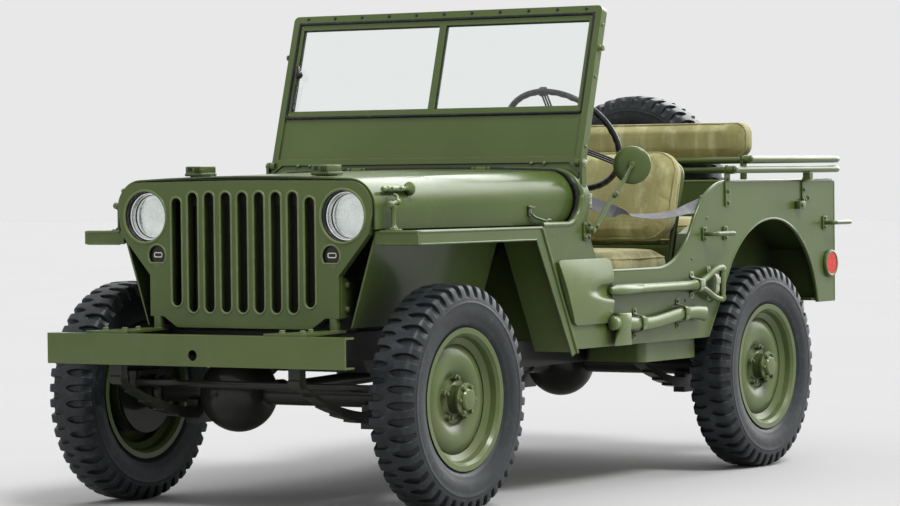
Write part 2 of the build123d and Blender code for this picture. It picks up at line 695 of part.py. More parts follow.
LAMP_RADIUS = 82.0
LAMP_X = GRILLE_HALF - 107.0
LAMP_Z = GRILLE_TOP - 113.0
LAMP_SET = 28.0
MARKER_RADIUS = 34.0
MARKER_X = LAMP_X - 45.0
MARKER_Z = GRILLE_TOP - 236.0
SLOT_PITCH = 0.2155 * (LAMP_X - LAMP_RADIUS)
SLOT_WIDTH = 0.625 * SLOT_PITCH
SLOT_TOP = GRILLE_TOP - 34.0
SLOT_BASE = GRILLE_BASE + 45.0
SLOTS = (
    # number out from the middle, bottom, top
    (0, SLOT_BASE, SLOT_TOP),
    (1, SLOT_BASE, SLOT_TOP),
    (2, SLOT_BASE, SLOT_TOP),
    (3, SLOT_BASE, SLOT_TOP),
    (4, SLOT_BASE + 19, SLOT_TOP - 17),
)
with BuildPart() as grille:
    with BuildSketch(cross_plane(GRILLE_Y)):
        with BuildLine():
            Polyline(
                (0, GRILLE_BASE),
                (POST_X - 81, GRILLE_BASE),
                (POST_X - 28, POST_TOP + RUN_GAP),
                (GRILLE_HALF - 124, POST_TOP + RUN_GAP),
                (GRILLE_HALF - 124, GRILLE_TOP - 298),
                (GRILLE_HALF - 12, FENDER_TOP - 10),
                (GRILLE_HALF, GRILLE_TOP - 111),
                (GRILLE_HALF, GRILLE_TOP - 90),
            )
            ThreePointArc(
                (GRILLE_HALF, GRILLE_TOP - 90),
                (GRILLE_HALF - 24, GRILLE_TOP - 28),
                (GRILLE_HALF - 84, GRILLE_TOP - 4),
            )
            Polyline((GRILLE_HALF - 84, GRILLE_TOP - 4), (0, GRILLE_TOP), (0, GRILLE_BASE))
        make_face()
        mirror(about=Plane.YZ)
        for number, low, high in SLOTS:
            with Locations((number * SLOT_PITCH, (low + high) / 2), (-number * SLOT_PITCH, (low + high) / 2)):
                SlotOverall(high - low, SLOT_WIDTH, rotation=90, mode=Mode.SUBTRACT)
        with Locations((LAMP_X, LAMP_Z), (-LAMP_X, LAMP_Z)):
            Circle(LAMP_RADIUS, mode=Mode.SUBTRACT)
        with Locations((MARKER_X, MARKER_Z), (-MARKER_X, MARKER_Z)):
            Circle(MARKER_RADIUS, mode=Mode.SUBTRACT)
    extrude(amount=-GRILLE_DEPTH)
save(grille.part, "grille")

# Lamps: bowls held in the grille openings, with their lenses
with BuildPart() as lamps:
    for side in (-1, 1):
        with BuildSketch(Plane(origin=(side * LAMP_X, GRILLE_Y, LAMP_Z), x_dir=(0, 1, 0), z_dir=(1, 0, 0))):
            with BuildLine():
                Polyline(
                    (LAMP_SET + 8, LAMP_RADIUS - 12),
                    (LAMP_SET + 6, LAMP_RADIUS - 5),
                    (4, LAMP_RADIUS - 5),
                    (4, LAMP_RADIUS - RUN_GAP),
                    (LAMP_SET + 24, LAMP_RADIUS - RUN_GAP),
                    (LAMP_SET + 24, LAMP_RADIUS - 8),
                    (LAMP_SET + 50, LAMP_RADIUS - 12),
                )
                TangentArc((LAMP_SET + 104, 0), (LAMP_SET + 50, LAMP_RADIUS - 12), tangent=(0, 1))
                Line((LAMP_SET + 104, 0), (LAMP_SET + 98, 0))
                TangentArc((LAMP_SET + 98, 0), (LAMP_SET + 16, LAMP_RADIUS - 14), tangent=(0, 1))
                Line((LAMP_SET + 16, LAMP_RADIUS - 14), (LAMP_SET + 8, LAMP_RADIUS - 12))
            make_face()
        revolve(axis=Axis((side * LAMP_X, GRILLE_Y, LAMP_Z), (0, 1, 0)))
        with BuildSketch(cross_plane(GRILLE_Y + 9)):
            with Locations((side * MARKER_X, MARKER_Z)):
                Circle(MARKER_RADIUS - RUN_GAP)
        extrude(amount=-48)
save(lamps.part, "lamps")

with BuildPart() as lamp_lenses:
    for side in (-1, 1):
        with BuildSketch(Plane(origin=(side * LAMP_X, GRILLE_Y, LAMP_Z), x_dir=(0, 1, 0), z_dir=(1, 0, 0))):
            with BuildLine():
                TangentArc((LAMP_SET, 0), (LAMP_SET + 14, LAMP_RADIUS - 13.5), tangent=(0, 1))
                Line((LAMP_SET, 0), (LAMP_SET + 5, 0))
                TangentArc((LAMP_SET + 5, 0), (LAMP_SET + 15.7, LAMP_RADIUS - 14.3), tangent=(0, 1))
                Line((LAMP_SET + 15.7, LAMP_RADIUS - 14.3), (LAMP_SET + 14, LAMP_RADIUS - 13.5))
            make_face()
        revolve(axis=Axis((side * LAMP_X, GRILLE_Y, LAMP_Z), (0, 1, 0)))
save(lamp_lenses.part, "lamp_lenses")

# Front fenders: flat top with a folded lip, a sloped tail and an inner apron
FENDER_FRONT = GRILLE_Y + 22.0
FENDER_BACK = HOOD_REAR - 262.0
TAIL_TIP = (HOOD_REAR - 45.0, SILL_BASE - 8.0)
TAIL_SLOPE = (TAIL_TIP[0] - FENDER_BACK) / (FENDER_TOP - TAIL_TIP[1])
FENDER_INNER = HOOD_FRONT_HALF - 14.0
APRON_BASE = (RAIL_OUT + 22.0, RAIL_TOP_FRONT + 14.0)
with BuildPart() as front_fenders:
    with BuildSketch(side_plane(FENDER_INNER)):
        with BuildLine():
            Polyline(
                (FENDER_FRONT, FENDER_TOP - FENDER_LIP),
                (FENDER_FRONT, FENDER_TOP),
                (FENDER_BACK, FENDER_TOP),
                TAIL_TIP,
                (TAIL_TIP[0] - SHEET, TAIL_TIP[1] - 2),
                (FENDER_BACK - SHEET * 0.7, FENDER_TOP - SHEET),
                (FENDER_FRONT + SHEET, FENDER_TOP - SHEET),
                (FENDER_FRONT + SHEET, FENDER_TOP - FENDER_LIP),
                close=True,
            )
        make_face()
    extrude(amount=BODY_HALF - FENDER_INNER)
    with BuildSketch(side_plane(BODY_HALF - SHEET)):
        with BuildLine():
            Polyline(
                (FENDER_FRONT, FENDER_TOP - FENDER_LIP),
                (FENDER_FRONT, FENDER_TOP),
                (FENDER_BACK, FENDER_TOP),
                TAIL_TIP,
                (TAIL_TIP[0] - 30, TAIL_TIP[1] - 14),
                (FENDER_BACK - 34, FENDER_TOP - FENDER_LIP),
                close=True,
            )
        make_face()
    extrude(amount=SHEET)
    with BuildSketch(cross_plane(FENDER_FRONT + SHEET)):
        with BuildLine():
            Polyline(
                (FENDER_INNER, FENDER_TOP),
                (FENDER_INNER + SHEET, FENDER_TOP - SHEET),
                (APRON_BASE[0] + SHEET, APRON_BASE[1]),
                APRON_BASE,
                (FENDER_INNER - 2, FENDER_TOP - 2),
                close=True,
            )
        make_face()
    extrude(amount=-(FENDER_BACK - FENDER_FRONT - 2 * SHEET))
    mirror(about=Plane.YZ)
save(front_fenders.part, "front_fenders")


def hood_outline(half, top, base, shoulder):
    rise = top - CROWN
    nick = shoulder * (1 - math.sqrt(0.5))
    with BuildSketch(mode=Mode.PRIVATE) as section:
        with BuildLine():
            Line((half, base), (half, rise - shoulder))
            ThreePointArc((half, rise - shoulder), (half - nick, rise - nick), (half - shoulder, rise))
            ThreePointArc((half - shoulder, rise), (0, top), (shoulder - half, rise))
            ThreePointArc((shoulder - half, rise), (nick - half, rise - nick), (-half, rise - shoulder))
            Polyline((-half, rise - shoulder), (-half, base), (half, base))
        make_face()
    return section.sketch


# Hood: one pressed skin from the grille back to the cowl
HOOD_HINGE_Y = HOOD_REAR + 2.0
HOOD_HINGE_Z = HOOD_REAR_TOP - 3.0
HOOD_CORNER = 96.0
CORNER_NICK = HOOD_CORNER * (1 - math.sqrt(0.5))
HINGE_X = 0.39 * BODY_HALF
BLOCK_X = HOOD_FRONT_HALF - 253.0
BLOCK_HEIGHT = 20.0
with BuildPart() as hood:
    for y, half, top in (
        (HOOD_FRONT, HOOD_FRONT_HALF, HOOD_FRONT_TOP),
        (HOOD_REAR, HOOD_REAR_HALF, HOOD_REAR_TOP),
    ):
        with BuildSketch(cross_plane(y)):
            add(hood_outline(half, top, HOOD_BASE, SHOULDER))
    loft(ruled=True)
    for y, half, top in (
        (HOOD_FRONT - 1, HOOD_FRONT_HALF - SHEET, HOOD_FRONT_TOP - SHEET),
        (HOOD_REAR + 1, HOOD_REAR_HALF - SHEET, HOOD_REAR_TOP - SHEET),
    ):
        with BuildSketch(cross_plane(y)):
            add(hood_outline(half, top, HOOD_BASE - 20, SHOULDER - SHEET))
    loft(ruled=True, mode=Mode.SUBTRACT)
    with BuildSketch(side_plane(-BODY_HALF)):
        with BuildLine():
            Polyline(
                (HOOD_REAR - HOOD_CORNER, HOOD_BASE),
                (HOOD_REAR - HOOD_CORNER, HOOD_BASE - 10),
                (HOOD_REAR + 10, HOOD_BASE - 10),
                (HOOD_REAR + 10, HOOD_BASE + HOOD_CORNER),
                (HOOD_REAR, HOOD_BASE + HOOD_CORNER),
            )
            ThreePointArc(
                (HOOD_REAR, HOOD_BASE + HOOD_CORNER),
                (HOOD_REAR - CORNER_NICK, HOOD_BASE + CORNER_NICK),
                (HOOD_REAR - HOOD_CORNER, HOOD_BASE),
            )
        make_face()
    extrude(amount=2 * BODY_HALF, mode=Mode.SUBTRACT)
    for hinge_x in (-HINGE_X, HINGE_X):
        with BuildSketch(side_plane(hinge_x - 41)):
            with Locations((HOOD_HINGE_Y, HOOD_HINGE_Z)):
                Circle(12)
        extrude(amount=82, mode=Mode.SUBTRACT)
        with BuildSketch(side_plane(hinge_x - 20)):
            with Locations((HOOD_HINGE_Y, HOOD_HINGE_Z)):
                Circle(9)
            with Locations((HOOD_HINGE_Y - 12, HOOD_HINGE_Z - 4)):
                Rectangle(24, 8)
            with Locations((HOOD_HINGE_Y, HOOD_HINGE_Z)):
                Circle(5 + RUN_GAP, mode=Mode.SUBTRACT)
        extrude(amount=40)
    for block_x in (-BLOCK_X, BLOCK_X):
        with BuildSketch(cross_plane(HOOD_FRONT + 85)):
            with BuildLine():
                Polyline(
                    (block_x - 26, HOOD_FRONT_TOP - SHEET - 3),
                    (block_x + 26, HOOD_FRONT_TOP - SHEET - 3),
                    (block_x + 20, HOOD_FRONT_TOP + BLOCK_HEIGHT),
                    (block_x - 20, HOOD_FRONT_TOP + BLOCK_HEIGHT),
                    close=True,
                )
            make_face()
        extrude(amount=-46)
save(hood.part, "hood")

# Cowl: hoop behind the hood, firewall, dash panel and the hinge lugs
DASH_Y = COWL_FRONT + 74.0
COLUMN_AXIS = Vector(0, math.cos(math.radians(COLUMN_TILT)), math.sin(math.radians(COLUMN_TILT)))
with BuildPart() as cowl:
    with BuildSketch(cross_plane(COWL_FRONT)):
        add(hood_outline(BODY_HALF, COWL_TOP, COWL_BASE, SHOULDER))
        add(hood_outline(BODY_HALF - 26, COWL_TOP - 20, COWL_BASE - 1, SHOULDER - 20), mode=Mode.SUBTRACT)
    extrude(amount=-COWL_DEPTH)
    with BuildSketch(cross_plane(FIREWALL)):
        add(hood_outline(BODY_HALF - 20, COWL_TOP - 10, COWL_BASE, SHOULDER - 10))
        with Locations((0, (COWL_BASE + FLOOR) / 2)):
            Rectangle(2 * (BODY_HALF - WALL), COWL_BASE - FLOOR)
    extrude(amount=-6)
    with BuildSketch(cross_plane(COWL_FRONT + COWL_DEPTH - 1)):
        add(hood_outline(BODY_HALF - 28, COWL_TOP - 4, COWL_BASE, SHOULDER - 4))
        add(hood_outline(BODY_HALF - 34, COWL_TOP - 10, COWL_BASE - 1, SHOULDER - 10), mode=Mode.SUBTRACT)
    extrude(amount=-(DASH_Y - COWL_FRONT - COWL_DEPTH + 1))
    with BuildSketch(cross_plane(DASH_Y - 6)):
        add(hood_outline(BODY_HALF - 28, COWL_TOP - 4, COWL_BASE, SHOULDER - 4))
    extrude(amount=-6)
    with BuildSketch(Plane(origin=STEER_CENTRE, z_dir=COLUMN_AXIS)):
        Circle(26)
    extrude(amount=-1000, mode=Mode.SUBTRACT)
    with BuildSketch(side_plane(-HINGE_X - 40)):
        with Locations((HOOD_HINGE_Y, HOOD_HINGE_Z)):
            Circle(12)
    extrude(amount=2 * HINGE_X + 80, mode=Mode.SUBTRACT)
    for hinge_x in (-HINGE_X, HINGE_X):
        with BuildSketch(side_plane(hinge_x - 36)):
            with Locations((HOOD_HINGE_Y, HOOD_HINGE_Z)):
                Circle(9)
            with Locations((HOOD_HINGE_Y + 10, HOOD_HINGE_Z - 3)):
                Rectangle(20, 12)
        extrude(amount=10)
        with BuildSketch(side_plane(hinge_x + 26)):
            with Locations((HOOD_HINGE_Y, HOOD_HINGE_Z)):
                Circle(9)
            with Locations((HOOD_HINGE_Y + 10, HOOD_HINGE_Z - 3)):
                Rectangle(20, 12)
        extrude(amount=10)
        with BuildSketch(side_plane(hinge_x - 36)):
            with Locations((HOOD_HINGE_Y, HOOD_HINGE_Z)):
                Circle(5)
        extrude(amount=72)
    for side in (-1, 1):
        with BuildSketch(side_plane(side * (SCREEN_HALF + 3))):
            with Locations((SCREEN_PIVOT_Y, SCREEN_PIVOT_Z)):
                Circle(14)
            with Locations((SCREEN_PIVOT_Y, SCREEN_PIVOT_Z - 45)):
                Rectangle(28, 90)
        extrude(amount=side * 10)
        with BuildSketch(side_plane(side * (SCREEN_HALF - 16))):
            with Locations((SCREEN_PIVOT_Y, SCREEN_PIVOT_Z)):
                Circle(5)
        extrude(amount=side * 20)
save(cowl.part, "cowl")

# Windshield frame on its tilted plane, lower panel, sash and divider
TILT = math.radians(SCREEN_TILT)
SCREEN = Plane(
    origin=(0, SCREEN_PIVOT_Y, SCREEN_PIVOT_Z),
    x_dir=(1, 0, 0),
    z_dir=(0, -math.cos(TILT), math.sin(TILT)),
)
SASH_BASE = GLASS_BASE - 27.0
POST = 24.0
with BuildPart() as windshield_frame:
    with BuildSketch(SCREEN):
        with Locations((0, SCREEN_HEIGHT / 2 + 1)):
            RectangleRounded(2 * SCREEN_HALF, SCREEN_HEIGHT - 2, 18)
        for side in (-1, 1):
            with BuildLine():
                Polyline(
                    (side * SCREEN_HALF, 30),
                    (side * SCREEN_HALF, -34),
                    (side * GLASS_HALF, 2),
                    (side * GLASS_HALF, 30),
                    close=True,
                )
            make_face()
        with Locations((0, SCREEN_HEIGHT / 2)):
            Rectangle(2 * (SCREEN_HALF - POST), SCREEN_HEIGHT - 2 * POST, mode=Mode.SUBTRACT)
    extrude(amount=-SCREEN_DEPTH)
    with BuildSketch(SCREEN.offset(-6)):
        with Locations((0, SASH_BASE / 2)):
            Rectangle(2 * (SCREEN_HALF - POST), SASH_BASE)
    extrude(amount=-10)
    with BuildSketch(SCREEN.offset(-4)):
        with Locations((0, (SASH_BASE + SCREEN_HEIGHT - POST) / 2)):
            Rectangle(2 * (SCREEN_HALF - POST), SCREEN_HEIGHT - POST - SASH_BASE)
        for side in (-1, 1):
            with Locations((side * (GLASS_HALF + DIVIDER / 2) / 2, (GLASS_BASE + GLASS_TOP) / 2)):
                Rectangle(GLASS_HALF - DIVIDER / 2, GLASS_TOP - GLASS_BASE, mode=Mode.SUBTRACT)
    extrude(amount=-22)
    for side in (-1, 1):
        with BuildSketch(side_plane(side * (SCREEN_HALF - 18))):
            with Locations((SCREEN_PIVOT_Y, SCREEN_PIVOT_Z)):
                Circle(13)
        extrude(amount=side * 18)
        with BuildSketch(side_plane(side * (SCREEN_HALF - 18))):
            with Locations((SCREEN_PIVOT_Y, SCREEN_PIVOT_Z)):
                Circle(5 + RUN_GAP)
        extrude(amount=side * 20, mode=Mode.SUBTRACT)
save(windshield_frame.part, "windshield_frame")

with BuildPart() as windshield_glass:
    with BuildSketch(SCREEN.offset(-12)):
        for side in (-1, 1):
            with Locations((side * (GLASS_HALF + DIVIDER / 2) / 2, (GLASS_BASE + GLASS_TOP) / 2)):
                Rectangle(GLASS_HALF - DIVIDER / 2 - 2 * RUN_GAP, GLASS_TOP - GLASS_BASE - 2 * RUN_GAP)
    extrude(amount=-6)
save(windshield_glass.part, "windshield_glass")

# Body sides with the curved door cut and the rear wheel opening
S_LOW = (STEP_Y - 176.0, SILL_TOP)
S_HIGH = (STEP_Y + 334.0, TUB_TOP)
S_TURN = 2 * math.degrees(math.atan2(S_HIGH[1] - S_LOW[1], S_HIGH[0] - S_LOW[0]))
S_RADIUS = (S_HIGH[0] - S_LOW[0]) / (2 * math.sin(math.radians(S_TURN)))
ARCH_TOP = (REAR_AXLE_Y + 0.33 * TYRE_RADIUS, 2.47 * TYRE_RADIUS)
ARCH_REAR = (REAR_AXLE_Y + 1.33 * TYRE_RADIUS, 1.648 * TYRE_RADIUS)
ARCH_FRONT = (REAR_AXLE_Y - 0.561 * TYRE_RADIUS, 2.053 * TYRE_RADIUS)
ARCH_FOOT = (REAR_AXLE_Y - 1.056 * TYRE_RADIUS, SILL_BASE)
PILLAR_Y = COWL_FRONT + COWL_DEPTH
SIDE_FOOT = (FENDER_BACK + (FENDER_TOP - SILL_BASE) * TAIL_SLOPE + RUN_GAP, SILL_BASE)
with BuildPart() as body_sides:
    with BuildSketch(side_plane(BODY_HALF - WALL)):
        with BuildLine():
            Polyline(
                SIDE_FOOT,
                (FENDER_BACK + RUN_GAP, FENDER_TOP),
                (HOOD_REAR - HOOD_CORNER, FENDER_TOP),
            )
            ThreePointArc(
                (HOOD_REAR - HOOD_CORNER, FENDER_TOP),
                (HOOD_REAR - 0.27 * HOOD_CORNER, FENDER_TOP + 0.29 * (COWL_BASE - FENDER_TOP)),
                (COWL_FRONT, COWL_BASE),
            )
            Polyline((COWL_FRONT, COWL_BASE), (PILLAR_Y, COWL_BASE), (PILLAR_Y - 18, COWL_BASE - 60))
            ThreePointArc(
                (PILLAR_Y - 18, COWL_BASE - 60),
                (PILLAR_Y + 4, SILL_TOP + 100),
                (PILLAR_Y + 95, SILL_TOP),
            )
            Line((PILLAR_Y + 95, SILL_TOP), S_LOW)
            sweep_up = JernArc(start=S_LOW, tangent=(1, 0), radius=S_RADIUS, arc_size=S_TURN)
            JernArc(start=sweep_up @ 1, tangent=sweep_up % 1, radius=S_RADIUS, arc_size=-S_TURN)
            Polyline(
                S_HIGH,
                (TUB_REAR, TUB_TOP),
                (TUB_REAR, TUB_BASE),
                (ARCH_REAR[0] + 8, TUB_BASE),
                ARCH_REAR,
            )
            TangentArc(ARCH_TOP, ARCH_REAR, tangent=(1, 0))
            TangentArc(ARCH_TOP, ARCH_FRONT, tangent=(-1, 0))
            Polyline(ARCH_FRONT, ARCH_FOOT, SIDE_FOOT)
        make_face()
    extrude(amount=WALL)
    mirror(about=Plane.YZ)
save(body_sides.part, "body_sides")

TOE = FIREWALL + 6.0
TOE_RISE = 170.0
TOE_RUN = 150.0
TOE_SHEET = 12.0
with BuildPart() as tub_floor:
    with BuildSketch(side_plane(-INNER_HALF)):
        with BuildLine():
            Polyline(
                (TOE, FLOOR + TOE_RISE),
                (TOE + TOE_RUN, FLOOR),
                (STEP_Y, FLOOR),
                (STEP_Y, REAR_FLOOR),
                (TUB_REAR - WALL, REAR_FLOOR),
                (TUB_REAR - WALL, REAR_FLOOR - FLOOR_SHEET),
                (STEP_Y + FLOOR_SHEET, REAR_FLOOR - FLOOR_SHEET),
                (STEP_Y + FLOOR_SHEET, FLOOR - FLOOR_SHEET),
                (TOE, FLOOR - FLOOR_SHEET),
                (TOE, FLOOR),
                (TOE + TOE_RUN - TOE_SHEET, FLOOR),
                (TOE, FLOOR + TOE_RISE - TOE_SHEET),
                close=True,
            )
        make_face()
    extrude(amount=2 * INNER_HALF)
    with BuildSketch(Plane.XY.offset(FLOOR - 20)):
        for side in (-1, 1):
            with Locations((side * (INNER_HALF - 0.39 * TYRE_WIDTH), REAR_AXLE_Y + 30)):
                Rectangle(0.81 * TYRE_WIDTH, 2 * TYRE_RADIUS + 130)
    extrude(amount=REAR_FLOOR - FLOOR + 40, mode=Mode.SUBTRACT)
save(tub_floor.part, "tub_floor")

WELL_TOP = ARCH_TOP[1] + 21.0
WELL_FRONT = REAR_AXLE_Y - TYRE_RADIUS - 30.0
WELL_REAR = ARCH_REAR[0] + 14.0
with BuildPart() as wheel_wells:
    with BuildSketch(side_plane(WELL_INNER)):
        with BuildLine():
            Polyline(
                (WELL_FRONT, REAR_FLOOR),
                (ARCH_FRONT[0] - 20, WELL_TOP - 70),
                (ARCH_TOP[0] - 150, WELL_TOP),
                (ARCH_TOP[0] + 150, WELL_TOP),
                (WELL_REAR, WELL_TOP - 140),
                (WELL_REAR, REAR_FLOOR),
                close=True,
            )
        make_face()
    extrude(amount=INNER_HALF - WELL_INNER)
    with BuildSketch(side_plane(WELL_INNER + SHEET)):
        with BuildLine():
            Polyline(
                (WELL_FRONT + SHEET * 1.2, REAR_FLOOR - 5),
                (ARCH_FRONT[0] - 20 + SHEET, WELL_TOP - 70 - SHEET),
                (ARCH_TOP[0] - 150 + SHEET, WELL_TOP - SHEET),
                (ARCH_TOP[0] + 150 - SHEET, WELL_TOP - SHEET),
                (WELL_REAR - SHEET, WELL_TOP - 140 - SHEET),
                (WELL_REAR - SHEET, REAR_FLOOR - 5),
                close=True,
            )
        make_face()
    extrude(amount=INNER_HALF - WELL_INNER, mode=Mode.SUBTRACT)
    mirror(about=Plane.YZ)
save(wheel_wells.part, "wheel_wells")

with BuildPart() as rear_panel:
    with BuildSketch(cross_plane(TUB_REAR - WALL)):
        with Locations((0, (TUB_TOP + TUB_BASE) / 2)):
            Rectangle(2 * INNER_HALF, TUB_TOP - TUB_BASE)
    extrude(amount=-WALL)
save(rear_panel.part, "rear_panel")

TANK_IN = RAIL_OUT + 12.0
TANK_OUT = BODY_HALF - 30.0
TANK_LENGTH = 390.0
with BuildPart() as fuel_tank:
    with BuildSketch(Plane.XY.offset(MID_TOP)):
        with Locations(((TANK_IN + TANK_OUT) / 2, STEP_Y - 40)):
            RectangleRounded(TANK_OUT - TANK_IN, TANK_LENGTH, 30)
    extrude(amount=-88)
save(fuel_tank.part, "fuel_tank")

# Seats: tube frames on the floor, with cushions and backs as soft solids
TUBE = 12.5
HOOP_Y = SEAT_BACK - 40.0
HOOP_LEAN = 102.0
HOOP_BEND = SEAT_PAN + 40.0
BACKREST = 70.0
BACKREST_HEIGHT = SEAT_TOP - SEAT_PAN - 96.0
REST_BASE = BENCH_TOP - 122.0
REST_TOP = BENCH_TOP + 18.0
with BuildPart() as seat_frames:
    for seat_x in (-SEAT_X, SEAT_X):
        with BuildLine() as hoop:
            FilletPolyline(
                (seat_x - SEAT_HALF + 30, HOOP_Y, REAR_FLOOR),
                (seat_x - SEAT_HALF + 30, HOOP_Y, HOOP_BEND),
                (seat_x - SEAT_HALF + 30, HOOP_Y + HOOP_LEAN, SEAT_TOP - 30),
                (seat_x + SEAT_HALF - 30, HOOP_Y + HOOP_LEAN, SEAT_TOP - 30),
                (seat_x + SEAT_HALF - 30, HOOP_Y, HOOP_BEND),
                (seat_x + SEAT_HALF - 30, HOOP_Y, REAR_FLOOR),
                radius=50,
            )
        with BuildSketch(Plane(origin=hoop.line @ 0, z_dir=hoop.line % 0)):
            Circle(TUBE)
        sweep()
        with BuildSketch(Plane.XY.offset(SEAT_PAN - 10)):
            with Locations((seat_x, (SEAT_FRONT + SEAT_BACK) / 2 - 10)):
                RectangleRounded(2 * SEAT_HALF - 40, SEAT_BACK - SEAT_FRONT - 40, 20)
        extrude(amount=10)
        with BuildSketch(Plane.XY.offset(FLOOR)):
            with Locations(
                (seat_x - SEAT_HALF + 40, SEAT_FRONT + 40),
                (seat_x + SEAT_HALF - 40, SEAT_FRONT + 40),
            ):
                Circle(TUBE)
        extrude(amount=SEAT_PAN - FLOOR - 5)
    with BuildLine() as hoop:
        FilletPolyline(
            (-BENCH_HALF + 20, BENCH_BACK, REAR_FLOOR),
            (-BENCH_HALF + 20, BENCH_BACK, BENCH_TOP - 40),
            (BENCH_HALF - 20, BENCH_BACK, BENCH_TOP - 40),
            (BENCH_HALF - 20, BENCH_BACK, REAR_FLOOR),
            radius=50,
        )
    with BuildSketch(Plane(origin=hoop.line @ 0, z_dir=hoop.line % 0)):
        Circle(TUBE)
    sweep()
    with BuildSketch(Plane.XY.offset(BENCH_PAN - 10)):
        with Locations((0, BENCH_BACK - BENCH_DEPTH / 2 - 10)):
            RectangleRounded(2 * BENCH_HALF - 20, BENCH_DEPTH + 20, 20)
    extrude(amount=10)
    with BuildSketch(Plane.XY.offset(REAR_FLOOR)):
        for side in (-1, 1):
            with Locations((side * (BENCH_HALF - 40), BENCH_BACK - BENCH_DEPTH + 20)):
                Circle(TUBE)
    extrude(amount=BENCH_PAN - REAR_FLOOR - 5)
save(seat_frames.part, "seat_frames")

with BuildPart() as front_seats:
    for seat_x in (-SEAT_X, SEAT_X):
        with BuildSketch(Plane.XY.offset(SEAT_PAN)):
            with Locations((seat_x, (SEAT_FRONT + SEAT_BACK) / 2 - 30)):
                RectangleRounded(2 * SEAT_HALF, SEAT_BACK - SEAT_FRONT - 60, 50)
        extrude(amount=CUSHION)
        fillet(front_seats.faces().group_by(Axis.Z)[-1].edges(), radius=26)
        rise = Vector(0, HOOP_LEAN, SEAT_TOP - SEAT_PAN - 70).normalized()
        ahead = Vector(0, -rise.Z, rise.Y)
        foot = Vector(seat_x, HOOP_Y, HOOP_BEND) + rise * 72 + ahead * (TUBE + RUN_GAP)
        lean = Plane(origin=foot, x_dir=(1, 0, 0), z_dir=ahead)
        with BuildSketch(lean):
            with Locations((0, BACKREST_HEIGHT / 2)):
                RectangleRounded(2 * SEAT_HALF, BACKREST_HEIGHT, 70)
        extrude(amount=BACKREST)
save(front_seats.part, "front_seats")

with BuildPart() as rear_seat:
    with BuildSketch(Plane.XY.offset(BENCH_PAN)):
        with Locations((0, BENCH_BACK - BENCH_DEPTH / 2 - 32)):
            RectangleRounded(2 * BENCH_HALF, BENCH_DEPTH, 40)
    extrude(amount=BENCH_CUSHION)
    fillet(rear_seat.faces().group_by(Axis.Z)[-1].edges(), radius=26)
    with BuildSketch(cross_plane(BENCH_BACK - TUBE - RUN_GAP)):
        with Locations((0, (REST_BASE + REST_TOP) / 2)):
            RectangleRounded(2 * BENCH_HALF + 90, REST_TOP - REST_BASE, 36)
    extrude(amount=BACKREST)
save(rear_seat.part, "rear_seat")

# Steering column and wheel
COLUMN = Plane(origin=STEER_CENTRE, z_dir=COLUMN_AXIS)
BOX_RISE = 73.0
COLUMN_LENGTH = (STEER_CENTRE[2] - RAIL_TOP_FRONT - BOX_RISE) / COLUMN_AXIS.Z
RIM_TUBE = 11.0
with BuildPart() as steering_column:
    with BuildSketch(COLUMN.offset(-60)):
        Circle(20)
    extrude(amount=60 - COLUMN_LENGTH)
    with BuildSketch(COLUMN.offset(-60)):
        Circle(9 + RUN_GAP)
    extrude(amount=-60, mode=Mode.SUBTRACT)
    foot = Vector(*STEER_CENTRE) - COLUMN_AXIS * COLUMN_LENGTH
    with BuildSketch(side_plane(STEER_CENTRE[0] - 45)):
        with Locations((foot.Y, (foot.Z + 40 + RAIL_TOP_FRONT) / 2)):
            RectangleRounded(150, foot.Z + 40 - RAIL_TOP_FRONT, 20)
    extrude(amount=80)
save(steering_column.part, "steering_column")

with BuildPart() as steering_wheel:
    with Locations(COLUMN):
        Torus(STEER_WHEEL_RADIUS, RIM_TUBE)
    with BuildSketch(COLUMN.offset(-55)):
        Circle(26)
    extrude(amount=67)
    with BuildSketch(COLUMN.offset(-110)):
        Circle(9)
    extrude(amount=60)
    for turn in (90, 210, 330):
        reach = Vector(COLUMN.x_dir).rotate(Axis((0, 0, 0), COLUMN_AXIS), turn)
        with BuildSketch(Plane(origin=STEER_CENTRE, z_dir=reach)):
            Circle(6.5)
        extrude(amount=STEER_WHEEL_RADIUS)
save(steering_wheel.part, "steering_wheel")

# Driver's mirror on a bent arm
MIRROR_X = BODY_HALF + 28.0
MIRROR_TURN = math.radians(25)
MIRROR_RADIUS = 62.0
MIRROR = Plane(
    origin=(MIRROR_X, HOOD_REAR + 280, COWL_TOP + 3),
    z_dir=Vector(math.sin(MIRROR_TURN), -math.cos(MIRROR_TURN), 0),
)
ARM_FOOT = (BODY_HALF, HOOD_REAR + 16, SILL_TOP + 137)
with BuildPart() as mirror_arm:
    with BuildSketch(side_plane(BODY_HALF)):
        with Locations((ARM_FOOT[1], ARM_FOOT[2])):
            RectangleRounded(40, 60, 8)
    extrude(amount=7)
    with BuildLine() as arm:
        FilletPolyline(
            (BODY_HALF + 5, ARM_FOOT[1], ARM_FOOT[2]),
            (MIRROR_X, ARM_FOOT[1], ARM_FOOT[2] + 6),
            (MIRROR_X, HOOD_REAR + 150, COWL_TOP - 90),
            MIRROR.origin - MIRROR.z_dir * 6,
            radius=14,
        )
    with BuildSketch(Plane(origin=arm.line @ 0, z_dir=arm.line % 0)):
        Circle(5.5)
    sweep()
    with BuildSketch(MIRROR.offset(-8)):
        Circle(MIRROR_RADIUS)
    extrude(amount=14)
    fillet(mirror_arm.edges().filter_by(GeomType.CIRCLE).sort_by(SortBy.RADIUS)[-2:], radius=5)
save(mirror_arm.part, "mirror")

